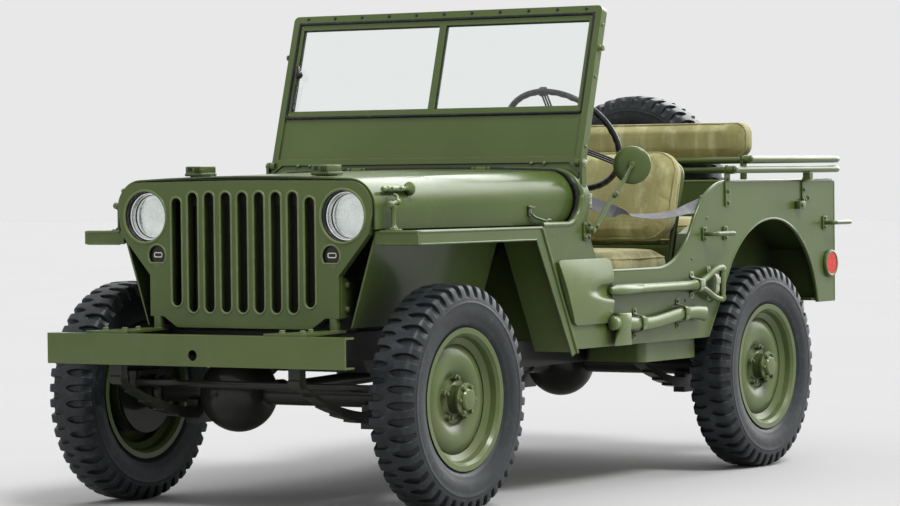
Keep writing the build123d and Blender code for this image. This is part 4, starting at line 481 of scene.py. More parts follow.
def rivet(bm, at, normal, size=0.006):
    dome = [(size * math.cos(a), size * 0.55 * math.sin(a)) for a in (0.0, 0.4, 0.8, 1.2)]
    lathe(bm, facing(at, normal), [(size, -0.001), *dome, (0.0, size * 0.55)], 10)


def mesh_object(name, bm):
    mesh = bpy.data.meshes.new(name)
    bm.to_mesh(mesh)
    bm.free()
    obj = bpy.data.objects.new(name, mesh)
    bpy.context.scene.collection.objects.link(obj)
    return obj


def finish_piece(name, bm, slot, body="chassis", look=None, nodes=(), angle=38):
    """Makes the mesh a piece; edges sharper than the angle, in degrees, stay crisp."""
    bmesh.ops.recalc_face_normals(bm, faces=bm.faces)
    obj = mesh_object(name, bm)
    obj.data.shade_smooth()
    obj.data.set_sharp_from_angle(angle=math.radians(angle))
    obj.data.materials.append(look or MATERIALS[slot])
    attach(obj, body)
    if nodes:
        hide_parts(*nodes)
    return obj


# Tyres with side lugs in staggered rows

LUGS = 44
GROOVE_DEPTH = 0.013
TREAD = (
    # across from the middle and radius in mm, share of the groove's depth, its half width
    (0.0, 358.0, 0.0, 0.05),
    (4.0, 358.0, 0.0, 0.05),
    (7.0, 357.9, 0.55, 0.07),
    (12.0, 357.8, 0.95, 0.13),
    (22.0, 357.5, 1.0, 0.20),
    (34.0, 357.0, 1.0, 0.24),
    (46.0, 356.0, 1.0, 0.25),
    (56.0, 354.6, 1.0, 0.25),
    (62.0, 352.0, 1.0, 0.25),
    (67.0, 346.5, 1.0, 0.25),
    (70.5, 339.0, 0.95, 0.25),
    (73.5, 329.0, 0.75, 0.24),
    (75.5, 320.0, 0.42, 0.22),
)
SIDEWALL = (
    (76.6, 314.0), (77.4, 308.0), (77.6, 303.0), (78.6, 301.5), (78.7, 299.0), (78.0, 297.0),
    (78.4, 286.0), (77.2, 268.0), (73.8, 252.0), (69.6, 241.0), (69.4, 238.5), (66.2, 234.0),
    (61.0, 227.5), (57.2, 224.0), (56.8, 205.0)
)
TREAD += tuple((u, r, 0.0, 0.20) for u, r in SIDEWALL)
STEPS_PER_LUG = 12


def lug_steps(half):
    """Places across one pitch and the groove's depth there, groove first."""
    near = [
        (0.0, 1.0), (0.4 * half, 1.0), (0.82 * half, 0.96), (half, 0.08), (half + 0.025, 0.0),
        ((half + 0.525) / 2, 0.0)
    ]
    return near + [(0.5, 0.0)] + [(1.0 - p, d) for p, d in reversed(near[1:])]


def tyre_rows():
    """Rows across the tyre: offset, radius, way inward, groove depth, groove width, side."""
    rows = []
    half = [Vector((u, r)) for u, r, _, _ in TREAD]
    for i, (u, r, share, width) in enumerate(TREAD):
        run = half[min(i + 1, len(half) - 1)] - half[max(i - 1, 0)]
        inward = Vector((run.y, -run.x)).normalized() if i else Vector((0.0, -1.0))
        if inward.y > 0:
            inward = -inward
        rows.append((u, r, inward, share, width))
    left = [(-u, r, Vector((-d.x, d.y)), s, w, -1) for u, r, d, s, w in reversed(rows[1:])]
    return left + [(u, r, d, s, w, 1) for u, r, d, s, w in rows]


def build_tyre(name, place, body):
    bm = bmesh.new()
    rings = []
    for across, radius, inward, share, width, side in tyre_rows():
        steps = lug_steps(width)
        ring = []
        for lug in range(LUGS):
            for i in range(STEPS_PER_LUG):
                if side > 0:
                    spot, depth = steps[i]
                else:
                    spot, depth = steps[(i + STEPS_PER_LUG // 2) % STEPS_PER_LUG]
                    spot += 0.5 if i >= STEPS_PER_LUG // 2 else -0.5
                angle = 2 * math.pi * (lug + spot) / LUGS
                sunk = GROOVE_DEPTH * share * depth
                u = across / 1000 + inward.x * sunk
                r = radius / 1000 + inward.y * sunk
                ring.append(bm.verts.new(place @ polar(r, angle, u)))
        rings.append(ring)
    loop_faces(bm, rings, True)
    return finish_piece(f"lugged_{name}", bm, "tyre_rubber", body, nodes=[name], angle=32)


# Wheels: name, side, axle position
WHEELS = (
    ("front_left", 1, FRONT_AXLE_Y),
    ("front_right", -1, FRONT_AXLE_Y),
    ("rear_left", 1, REAR_AXLE_Y),
    ("rear_right", -1, REAR_AXLE_Y),
)
NUT_CIRCLE, FLANGE_CIRCLE = 0.067, 0.043
HUB_RING = mm(34.5, 73.5, 30, 79, 12, 80.5, 0, 80.8)


def build_hub(name, place, body, flange):
    """Wheel nuts, hub flange bolts, a hub cap and the valve."""
    bm = bmesh.new()
    for i in range(5):
        a = 2 * math.pi * (i + 0.25) / 5
        spot = Matrix.Translation(polar(NUT_CIRCLE, a, 0.016))
        lathe(bm, place @ spot, mm(0, -1, 15.5, -1, 13, 4, 11.5, 6, 11.5, 16, 9, 18.5, 0, 18.5), 6)
        lathe(bm, place @ spot, mm(0, 16, 6.5, 16, 6.5, 25, 5, 26.5, 0, 26.5), 10)
    if flange:
        for i in range(6):
            a = 2 * math.pi * i / 6
            at = place @ polar(FLANGE_CIRCLE, a, 0.0646)
            bolt(bm, at, place.to_3x3() @ Z_AXIS, 0.0072, 0.010)
        lathe(bm, place, [(0.0, 0.0700), *HUB_RING], 28)
    lean = Matrix.Rotation(math.radians(-25), 4, "X")
    stem = place @ Matrix.Translation((0.0, 0.196, 0.020)) @ lean
    lathe(bm, stem, mm(0, -12, 5.5, -12, 5.5, 10, 4.2, 12, 4.2, 26, 0, 26), 10)
    return finish_piece(f"hub_fittings_{name}", bm, "body_paint", body)


for name, side, axle_y in WHEELS:
    place = facing((side * WHEEL_X, axle_y, TYRE_RADIUS), (side, 0, 0))
    build_tyre(f"tyre_{name}", place, f"wheel_{name}")
    build_hub(name, place, f"wheel_{name}", True)
SPARE_PLACE = facing((-0.273, 1.6045, 0.994), (0, 1, 0))
build_tyre("spare_tyre", SPARE_PLACE, "chassis")
build_hub("spare", SPARE_PLACE, "chassis", False)


# Cushions

def pad_start(name, place, outline, thick, crown):
    """A pad's starting form: the outline drawn out, crowned on both faces."""
    bm = bmesh.new()
    layers = ((-1.0, 0.90), (-0.72, 0.985), (-0.3, 1.0), (0.3, 1.0), (0.72, 0.985), (1.0, 0.90))
    rings = [ring_of(bm, place, outline, t * thick / 2, s, s) for t, s in layers]
    for sign in (-1, 1):
        for share in (0.60, 0.25):
            height = sign * (thick / 2 + crown * (1 - share * share))
            ring = ring_of(bm, place, outline, height, share, share)
            rings.insert(0 if sign < 0 else len(rings), ring)
    loop_faces(bm, rings, False)
    bmesh.ops.recalc_face_normals(bm, faces=bm.faces)
    return mesh_object(name, bm)


def use_modifier(obj):
    """Replaces the mesh by its modified form."""
    graph = bpy.context.evaluated_depsgraph_get()
    mesh = bpy.data.meshes.new_from_object(obj.evaluated_get(graph))
    obj.modifiers.clear()
    old, obj.data = obj.data, mesh
    bpy.data.meshes.remove(old)


VOXEL = 0.006
SIM_FRAMES = 20
EDGE_HOLD = 0.25  # share kept of a point's movement in the pad's plane
PAD_CROWN, SWELL_CAP = 0.010, 0.014
CLOTH = {
    "quality": 4,
    "use_pressure": True,
    "uniform_pressure_force": 4.0,
    "tension_stiffness": 12,
    "compression_stiffness": 12,
    "shear_stiffness": 5,
    "bending_stiffness": 0.4,
}
PIPING_RADIUS, PIPING_LEVELS = 0.0034, (-0.36, 0.36)


def puff(obj, place, cap, floor=None):
    """Remeshes the pad and swells it as cloth under pressure, held in its plane and capped."""
    turn = place.to_3x3()
    back = turn.inverted()
    remesh = obj.modifiers.new("even", "REMESH")
    remesh.mode = "VOXEL"
    remesh.voxel_size = VOXEL
    use_modifier(obj)
    start = [v.co.copy() for v in obj.data.vertices]
    cloth = obj.modifiers.new("cloth", "CLOTH")
    for key, value in CLOTH.items():
        setattr(cloth.settings, key, value)
    cloth.settings.effector_weights.gravity = 0.0
    cloth.point_cache.frame_start = 1
    cloth.point_cache.frame_end = SIM_FRAMES
    scene = bpy.context.scene
    for number in range(1, SIM_FRAMES + 1):
        scene.frame_set(number)
    use_modifier(obj)
    scene.frame_set(1)
    for vertex, home in zip(obj.data.vertices, start):
        moved = back @ (vertex.co - home)
        moved.xy *= EDGE_HOLD
        if moved.length > cap:
            moved *= cap / moved.length
        vertex.co = home + turn @ moved
    if floor is not None:
        for vertex in obj.data.vertices:
            vertex.co.z = max(vertex.co.z, floor)


def piped_edge(bm, pad, place, outline, level):
    """A cord laid on the pad's side all round, at one level."""
    tree = BVHTree.FromPolygons(
        [v.co for v in pad.data.vertices], [p.vertices for p in pad.data.polygons]
    )
    reach = [max(abs(spot[axis]) for spot in outline) for axis in (0, 1)]
    spare = [half - min(reach) for half in reach]
    path = []
    for spot in outline:
        core = [max(-far, min(far, at)) for at, far in zip(spot, spare)]
        inside = place @ Vector((*core, level))
        outside = inside + (place @ Vector((*spot, level)) - inside) * 1.5
        hit = tree.ray_cast(outside, inside - outside)[0]
        path.append(hit if hit else place @ Vector((*spot, level)))
    tube(bm, path, PIPING_RADIUS, 8, True)


# The front seats' backs lean
SEAT_X = 0.350
LEAN_UP = Vector((0, 0.102, 0.352)).normalized()
LEAN_AHEAD = Vector((0, -LEAN_UP.z, LEAN_UP.y))


def back_centre(x):
    foot = Vector((x, 0.365, 0.730)) + LEAN_UP * 0.072 + LEAN_AHEAD * 0.0128
    return foot + LEAN_UP * 0.163 + LEAN_AHEAD * 0.036


FLAT, LEANING, UPRIGHT = (Z_AXIS, Y_AXIS), (LEAN_AHEAD, LEAN_UP), (-Y_AXIS, Z_AXIS)
SEAT_SIZE, BACK_SIZE = (0.434, 0.430, 0.070, 0.055), (0.430, 0.322, 0.050, 0.085)
PADS = (
    # name, origin, (normal, up), (width, length, thickness, corner), replaced, flat side's height
    ("seat_cushion_left", (SEAT_X, 0.125, 0.736), FLAT, SEAT_SIZE, ["front_seats"], 0.6905),
    ("seat_cushion_right", (-SEAT_X, 0.125, 0.736), FLAT, SEAT_SIZE, [], 0.6905),
    ("seat_back_left", back_centre(SEAT_X), LEANING, BACK_SIZE, [], None),
    ("seat_back_right", back_centre(-SEAT_X), LEANING, BACK_SIZE, [], None),
    ("rear_cushion", (0, 0.986, 0.835), FLAT, (0.806, 0.388, 0.070, 0.050), ["rear_seat"], 0.7905),
    ("rear_backrest", (0, 1.1692, 1.170), UPRIGHT, (0.896, 0.128, 0.054, 0.045), [], None),
)
for name, origin, (normal, up), (width, length, thick, corner), nodes, floor in PADS:
    place = facing(origin, normal, up)
    outline = rounded_box(width, length, corner, 8)
    pad = pad_start(name, place, outline, thick, PAD_CROWN)
    puff(pad, place, SWELL_CAP, floor)
    piping = bmesh.new()
    for level in PIPING_LEVELS:
        piped_edge(piping, pad, place, outline, level * thick)
    pad.data.shade_smooth()
    pad.data.materials.clear()
    pad.data.materials.append(MATERIALS["seat_canvas"])
    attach(pad, "chassis")
    if nodes:
        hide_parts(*nodes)
    finish_piece(f"{name}_piping", piping, "seat_canvas")


# Detail pieces: a place on the left is mirrored to the right by side

SIDES = (1, -1)


def arc(centre, radius, start, stop, parts=10):
    """Points (a, b) on an arc, angles in degrees."""
    turns = [math.radians(start + (stop - start) * i / parts) for i in range(parts + 1)]
    return [(centre[0] + radius * math.cos(t), centre[1] + radius * math.sin(t)) for t in turns]


def side_path(x, points):
    return [(x, y, z) for y, z in points]


def front_path(y, points):
    return [(x, y, z) for x, z in points]


def hoop(half, top, base, shoulder, crown=0.010):
    """The hood's section as points (x, z) from the left foot over to the right foot."""
    rise = top - crown
    left = [(half, base)] + arc((half - shoulder, rise - shoulder), shoulder, 0, 90)
    over = [((half - shoulder) * (1 - i / 8), top - crown * (1 - i / 8) ** 2) for i in range(1, 9)]
    right = [(-x, z) for x, z in reversed(left + over[:-1])]
    return left + over + right


HOOD_FRONT_HALF, HOOD_FLARE = 0.496, 0.110
HOOD_FRONT_Y, HOOD_LENGTH = -1.405, 1.010


def hood_half(y):
    return HOOD_FRONT_HALF + HOOD_FLARE * (y - HOOD_FRONT_Y) / HOOD_LENGTH


# Grille: rolled lips round the slots and lamp openings, lace under the hood's edge
SLOT_PITCH, SLOT_HALF = 0.0640, 0.0200
SLOT_ENDS = mm(623, 1007, 623, 1007, 623, 1007, 623, 1007, 642, 990)
MARKER_R, MARKER_CUT = 0.034, -0.024


def slot_outline(x, low, high, half):
    return arc((x, high - half), half, 0, 180) + arc((x, low + half), half, 180, 360)


def marker_outline(side, radius, cut):
    """A disc with a flat foot."""
    dip = math.degrees(math.asin(cut / radius))
    return arc((side * MARKER[0], MARKER[1]), radius, dip, 180 - dip, 24)


bm = bmesh.new()
for number, (low, high) in enumerate(SLOT_ENDS):
    for side in SIDES if number else (1,):
        tube(
            bm,
            front_path(
                GRILLE_Y + 0.0012,
                slot_outline(side * number * SLOT_PITCH, low, high, SLOT_HALF + 0.002)
            ),
            0.0042, 8, True
        )
for side in SIDES:
    tube(
        bm, front_path(GRILLE_Y + 0.0010, arc((side * LAMP[0], LAMP[1]), 0.0835, 0, 352.5, 47)),
        0.0046, 8, True
    )
    tube(
        bm, front_path(GRILLE_Y + 0.0010, marker_outline(side, MARKER_R + 0.001, MARKER_CUT)),
        0.0036, 8, True
    )
    foot = arc((side * MARKER[0], MARKER[1]), MARKER_R + 0.0005, 225, 315, 14)
    prism(bm, facing((0, GRILLE_Y + 0.022, 0), (0, -1, 0)), foot, 0.0215)
# The lips take the lighter tool paint: a painted highlight on the slot, lamp and marker edges.
finish_piece("grille_lips", bm, "tool_paint")

bm = bmesh.new()
lace = mm(488.5, 886, 489.2, 951) + arc((0.400, 0.9515), 0.0892, 4, 84, 10)
lace += mm(200, 1043, 0, 1044.5)
lace += [(-x, z) for x, z in reversed(lace[:-1])]
tube(bm, front_path(GRILLE_Y + 0.012, lace), 0.0040, 8)
finish_piece("hood_lace", bm, "wheel_black", look=BLACK_SEAL)

# Air shroud from the grille back to the radiator
bm = bmesh.new()
for side in SIDES:
    block(bm, (side * 0.287, -1.335, 0.800), (0.004, 0.104, 0.410), 0.001)
for level in (1.012, 0.596):
    block(bm, (0.0, -1.335, level), (0.578, 0.104, 0.004), 0.001)
finish_piece("air_shroud", bm, "lamp_black", look=BLACK_SEAL)

# Shield plates from the grille's sides back past the frame
SHIELD = mm(-1404, 614, -1235, 620, -1235, 672, -1404, 748)
bm = bmesh.new()
for side in SIDES:
    shape = [(side * y, z) for y, z in SHIELD]
    prism(bm, facing((side * 0.3615, 0, 0), (side, 0, 0)), shape, 0.0035, 0.001)
finish_piece("shield_plates", bm, "body_paint")

# Headlamps: plated rims, reflector bowls with a bulb; blackout markers with a pale slit
chrome, bowls, slits = bmesh.new(), bmesh.new(), bmesh.new()
for side in SIDES:
    place = facing((side * LAMP[0], GRILLE_Y, LAMP[1]), (0, -1, 0))
    rim = mm(69, -40, 76.6, -36, 76.7, -25, 74.8, -21.5, 72, -22.5, 69, -30)
    lathe(chrome, place, rim, 48, True)
    deep = [(0.0672 * i / 12, -0.1200 + 0.0745 * (i / 12) ** 2) for i in range(12, 0, -1)]
    rear = [(0.0678 * i / 12, -0.1222 + 0.0755 * (i / 12) ** 2) for i in range(1, 13)]
    lathe(bowls, place, [*deep, (0.0, -0.1200), (0.0, -0.1225), *rear], 48, False)
    lathe(chrome, place, mm(0, -121, 10, -119, 12, -98, 9, -86, 0, -83), 16)
    spot = facing((side * MARKER[0], GRILLE_Y + 0.0085, MARKER[1] + 0.002), (0, -1, 0))
    ring = [spot @ Vector((x, y, 0.0012)) for x, y in rounded_box(0.030, 0.0135, 0.004, 3)]
    tube(slits, ring, 0.0018, 6, True)
finish_piece("headlamp_rims", chrome, "cast_metal", look=CHROME)
finish_piece("headlamp_bowls", bowls, "cast_metal", look=LAMP_BOWL)
finish_piece("marker_slits", slits, "clear_glass", look=DIAL_MARK)

# Hood: rest blocks, side latch bars and hold-down hooks
HOOD_BLOCK_X = 0.243
bm = bmesh.new()
for side in SIDES:
    for level, size in ((1.0600, (0.066, 0.084, 0.010)), (1.0745, (0.062, 0.080, 0.024))):
        block(bm, (side * HOOD_BLOCK_X, -1.297, level), size, 0.0035)
    for rib in range(4):
        block(
            bm, (side * HOOD_BLOCK_X + 0.008 + rib * 0.0065, -1.3375, 1.0765),
            (0.0032, 0.006, 0.017), 0.001
        )
finish_piece("hood_blocks", bm, "body_paint", "hood")
# Black patches on the blocks' fronts: painted shade standing in for holes.
bm = bmesh.new()
for side in SIDES:
    block(bm, (side * HOOD_BLOCK_X - 0.013, -1.3368, 1.0775), (0.013, 0.004, 0.012), 0.001)
finish_piece("hood_block_hole_shade", bm, "wheel_black", "hood", look=BLACK_SEAL)

bm = bmesh.new()
for side in SIDES:
    line = Vector((side * 0.108, 1.0, 0.0)).normalized()
    start = Vector((side * 0.4985, -1.372, 1.010))
    place = facing(start, line)
    bar = mm(0, 0, 6, 0, 8.5, 3, 8.5, 16, 6, 19, 6, 24, 9, 27)
    bar += mm(9, 92, 7.5, 98, 7.5, 118, 11, 122, 21, 129, 22.5, 134, 18, 142, 0, 145)
    lathe(bm, place, bar, 18)
    for reach in (0.040, 0.082):
        at = start + line * reach
        spur = at - Vector((side * 0.024, 0, 0.010))
        tube(bm, [at, spur], 0.0065, 10)
        bolt(bm, at + Vector((side * 0.0085, 0, 0.003)), (side, 0, 0.3), 0.0048, 0.004)
finish_piece("hood_side_bars", bm, "tool_paint", "hood")

bm = bmesh.new()
for side in SIDES:
    foot = Vector((side * 0.5265, -1.352, 0.8815))
    block(bm, foot + Vector((0, 0, 0.003)), (0.034, 0.044, 0.006), 0.0015)
    for turn in SIDES:
        bolt(bm, foot + Vector((0, turn * 0.016, 0.006)), Z_AXIS, 0.0042, 0.004)
    post = mm(0, 0, 13, 0, 13, 5, 8.5, 10, 7.2, 18, 7.2, 60, 11, 66, 11, 74, 0, 76)
    lathe(bm, Matrix.Translation(foot + Vector((0, 0, 0.004))), post, 16)
    cross = facing(foot + Vector((0, -0.026, 0.080)), (side * 0.05, 1, 0.18))
    knob = mm(0, 0, 8.5, 1, 11.5, 7, 10.5, 14, 7, 18, 7, 40, 10, 43, 10, 52, 0, 55)
    lathe(bm, cross, knob, 16)
    tip = [(0, 0.020, 0.094), (-side * 0.006, 0.030, 0.106), (-side * 0.016, 0.024, 0.112)]
    tube(bm, curve_points([foot + Vector(p) for p in tip]), 0.0045, 8)
finish_piece("hood_hooks_front", bm, "tool_paint")

plates, links = bmesh.new(), bmesh.new()
for side in SIDES:
    wall = side * (hood_half(-0.636) + 0.001)
    plate = facing((wall, -0.636, 0.932), (side, 0, 0))
    prism(plates, plate, rounded_box(0.020, 0.036, 0.003, 2), 0.004, 0.001)
    block(plates, (wall + side * 0.008, -0.636, 0.944), (0.012, 0.026, 0.006), 0.0015)
    rivet(plates, (wall + side * 0.004, -0.636, 0.926), (side, 0, 0), 0.005)
    hook = [
        (wall + side * 0.012, -0.640, 0.922), (wall + side * 0.018, -0.630, 0.912),
        (0.612 * side, -0.612, 0.904), (0.622 * side, -0.596, 0.898)
    ]
    tube(links, curve_points(hook), 0.0042, 8)
    eye = [(0.624 * side, -0.588 + 0.013 * x, 0.896 + 0.008 * y) for x, y in circle(1.0, 14)]
    tube(links, eye, 0.0040, 8, True)
    block(links, (0.632 * side, -0.580, 0.888), (0.016, 0.040, 0.012), 0.002)
finish_piece("hood_catch_plates", plates, "tool_paint", "hood")
finish_piece("hood_catch_links", links, "tool_paint")

# Cowl: black gasket behind the hood, green bead along the body side
gasket = bmesh.new()
seal = hoop(0.6185, 1.0730, 0.958, 0.095)
seal_down = arc((-0.4935, 0.979), 0.0985, -6, -86, 10)
rings = []
shape = side_path(0.6185, reversed(seal_down)) + front_path(-0.3945, seal)
shape += side_path(-0.6185, seal_down)
for spot in frames_along(shape, False, Y_AXIS):
    high = spot.translation.z
    width = 0.0105 if high < 1.03 else 0.0105 - 0.0050 * min(1.0, (high - 1.03) / 0.03)
    rings.append(ring_of(gasket, spot, circle(width, 12), wide=0.8))
loop_faces(gasket, rings, False)
finish_piece("cowl_gasket", gasket, "wheel_black", look=BLACK_SEAL)

bm = bmesh.new()
for side in SIDES:
    run = mm(-648, 886.5, -560, 886.5) + arc((-0.491, 0.983), 0.0965, -90, -6, 12)
    bend = side_path(side * 0.6335, run)
    rise = [(side * x, -0.3880, z) for x, z in hoop(0.6335, 1.0700, 0.985, 0.095)[:15]]
    tube(bm, bend + rise, 0.0105, 12)
finish_piece("cowl_bead", bm, "body_paint")

# Windshield: seals, snaps, bolts, wiper and side knobs, on the frame's own plane
SCREEN = Matrix((
    (1, 0, 0, 0),
    (0, math.sin(SCREEN_TILT), -math.cos(SCREEN_TILT), SCREEN_PIVOT[0]),
    (0, math.cos(SCREEN_TILT), math.sin(SCREEN_TILT), SCREEN_PIVOT[1]),
    (0, 0, 0, 1),
))
SCREEN_OUT = SCREEN.to_3x3() @ Z_AXIS
SCREEN_UP = SCREEN.to_3x3() @ Y_AXIS


def on_screen(u, v, w=0.0):
    return SCREEN @ Vector((u, v, w))


def screen_frame(u0, u1, v0, v1, corner, w):
    """A rounded rectangle of points on the windshield."""
    shape = rounded_box(u1 - u0, v1 - v0, corner, 4)
    return [on_screen((u0 + u1) / 2 + x, (v0 + v1) / 2 + y, w) for x, y in shape]


seals, studs = bmesh.new(), bmesh.new()
tube(seals, screen_frame(-0.5925, 0.5925, 0.1745, 0.5165, 0.010, -0.0025), 0.0050, 8, True)
for side in SIDES:
    low, high = sorted((side * 0.0135, side * 0.5745))
    tube(seals, screen_frame(low, high, 0.1975, 0.4935, 0.006, -0.0110), 0.0034, 8, True)
for number in range(11):
    rivet(seals, on_screen(-0.560 + 0.112 * number, 0.5340, 0.0002), SCREEN_OUT, 0.0062)
finish_piece("windshield_seals", seals, "wheel_black", "windshield", look=BLACK_SEAL)

for u, v in ((0.430, 0.001), (0.480, 0.001), (-0.460, 0.001), (-0.509, 0.001)):
    bolt(studs, on_screen(u, v, -0.0062), SCREEN_OUT, 0.0062, 0.0085)
for side in SIDES:
    for v in (0.505, 0.185):
        rivet(studs, on_screen(side * 0.583, v, -0.0042), SCREEN_OUT, 0.0052)
    stem = facing(on_screen(side * 0.6195, 0.400, -0.017), (side, 0, 0))
    lathe(studs, stem, mm(0, 0, 12, 0, 12, 3, 6, 4, 6, 9, 10, 10.5, 10, 16, 0, 18), 14)
    for v in (0.060, 0.300, 0.480):
        bolt(studs, on_screen(side * 0.6198, v, -0.017), (side, 0, 0), 0.0050, 0.0040)
finish_piece("windshield_studs", studs, "tool_paint", "windshield")

# Apron that carries the windshield's panel down to the cowl, with a rubber foot
APRON_HALF, APRON_PARTS = 0.614, 48
COWL_TOP, COWL_CROWN = 1.075, 0.010
COWL_FLAT, COWL_TURN_Z, COWL_TURN = 0.545, 0.970, 0.095


def cowl_height(x):
    """The cowl's top over the distance from the middle."""
    reach = abs(x)
    if reach <= COWL_FLAT:
        return COWL_TOP - COWL_CROWN * (reach / COWL_FLAT) ** 2
    return COWL_TURN_Z + math.sqrt(max(0.0, COWL_TURN ** 2 - (reach - COWL_FLAT) ** 2))


bm = bmesh.new()
foot_line = []
columns = []
for i in range(APRON_PARTS + 1):
    u = APRON_HALF * (2 * i / APRON_PARTS - 1)
    low = (cowl_height(u) + 0.0045 - SCREEN_PIVOT[1]) / math.cos(SCREEN_TILT)
    foot_line.append(on_screen(u, low, -0.010))
    shape = ((low, -0.0055), (0.024, -0.0055), (0.024, -0.0145), (low, -0.0145))
    columns.append([bm.verts.new(on_screen(u, v, w)) for v, w in shape])
loop_faces(bm, columns, False)
finish_piece("windshield_apron", bm, "body_paint", "windshield")
bm = bmesh.new()
tube(bm, foot_line, 0.0042, 8)
finish_piece("windshield_foot_seal", bm, "wheel_black", "windshield", look=BLACK_SEAL)

bm = bmesh.new()
ball = on_screen(-0.5620, 0.330, 0.004)
lathe(bm, facing(ball, SCREEN_OUT), mm(0, -12, 9, -11, 14, -4, 15, 3, 12, 10, 6, 14, 0, 15), 18)
tube(bm, [ball + SCREEN_UP * 0.004, ball + SCREEN_UP * 0.030 + Vector((-0.010, 0, 0))], 0.0060, 10)
blade = [
    ball - SCREEN_UP * 0.006, ball - SCREEN_UP * 0.060 - Vector((0.004, 0, 0)),
    on_screen(-0.5700, 0.208, 0.002)
]
tube(bm, curve_points(blade), 0.0028, 8)
sweep(
    bm, [on_screen(-0.5715, 0.296, -0.002), on_screen(-0.5715, 0.206, -0.002)],
    rounded_box(0.0050, 0.012, 0.0015, 2), False, X_AXIS
)
finish_piece("wiper", bm, "lamp_black", "windshield")

bm = bmesh.new()
for side in SIDES:
    bolt(bm, (side * 0.633, SCREEN_PIVOT[0], SCREEN_PIVOT[1]), (side, 0, 0), 0.0095, 0.008)
finish_piece("windshield_pivot_bolts", bm, "cast_metal", look=BOLT)

# Driver's mirror: bolted foot, two flat bars on a pivot, domed head
MIRROR_AT = Vector((0.668, -0.115, 1.078))
MIRROR_FACE = Vector((math.sin(math.radians(25)), -math.cos(math.radians(25)), 0))
FOOT_AT = Vector((BODY_HALF, -0.379, 0.862))
ELBOW = Vector((0.668, -0.239, 0.982))
bm = bmesh.new()
prism(bm, facing(FOOT_AT, X_AXIS), rounded_box(0.042, 0.062, 0.009, 3), 0.0065, 0.0015)
for dz in (0.021, -0.021):
    for dy in (-0.012, 0.012):
        bolt(bm, FOOT_AT + Vector((0.0065, dy, dz)), X_AXIS, 0.0050, 0.0055)
lathe(
    bm, facing(FOOT_AT + Vector((0.006, 0.002, 0.004)), X_AXIS),
    mm(0, 0, 12, 0, 12, 16, 9, 19, 9, 27, 0, 29), 16
)
bar_low = [FOOT_AT + Vector((0.026, -0.004, -0.002)), Vector((0.668, -0.360, 0.875)), ELBOW]
sweep(bm, rounded_path(bar_low, 0.012), rounded_box(0.0065, 0.0200, 0.002, 2), False, X_AXIS)
bar_high = [
    ELBOW + Vector((0.0068, -0.008, -0.007)), ELBOW + Vector((0.0068, 0.060, 0.048)),
    MIRROR_AT + MIRROR_FACE * 0.020 + Vector((0.002, -0.006, -0.004))
]
sweep(bm, rounded_path(bar_high, 0.02), rounded_box(0.0060, 0.0160, 0.002, 2), False, X_AXIS)
bolt(bm, ELBOW + Vector((0.0100, 0.0, 0.0)), X_AXIS, 0.0075, 0.0080)
bolt(bm, Vector((0.6715, -0.356, 0.878)), X_AXIS, 0.0060, 0.0060)
head = mm(0, -8.5, 60, -8.5, 63.5, -6, 64, 0, 62.5, 4.5, 59, 7)
head += [(0.0570 * math.cos(t), 0.0070 + 0.0075 * math.sin(t)) for t in (0.15, 0.4, 0.7, 1.0, 1.3)]
head.append((0.0, 0.0147))
lathe(bm, facing(MIRROR_AT, MIRROR_FACE), head, 44)
lathe(bm, facing(MIRROR_AT, MIRROR_FACE), mm(0, 12, 12.5, 13, 13.5, 18, 10, 25, 0, 27), 18)
finish_piece("mirror_arm", bm, "body_paint", nodes=["mirror"])
bm = bmesh.new()
lathe(bm, facing(MIRROR_AT, -MIRROR_FACE), mm(0, 8, 57.5, 8, 57.5, 8.8, 56, 9.4, 0, 9.4), 44)
finish_piece("mirror_pane", bm, "clear_glass", look=MIRROR_GLASS)

# Webbing straps across the door cuts: hung, sagging, turned over once
STRAP_ENDS = (Vector((0.6242, -0.345, 0.962)), Vector((0.6242, 0.476, 0.948)))
STRAP_SAG, STRAP_WIDTH, STRAP_THICK = 0.050, 0.042, 0.0022
STRAP_TURNS = (
    (0.0, 4), (0.18, 8), (0.25, 45), (0.33, 108), (0.55, 116), (0.78, 112), (0.90, 150), (1.0, 180)
)
STRAP_PARTS = 60


def strap_turn(share):
    for (a, low), (b, high) in zip(STRAP_TURNS, STRAP_TURNS[1:]):
        if share <= b:
            t = (share - a) / (b - a)
            return math.radians(low + (high - low) * t * t * (3 - 2 * t))
    return math.radians(STRAP_TURNS[-1][1])


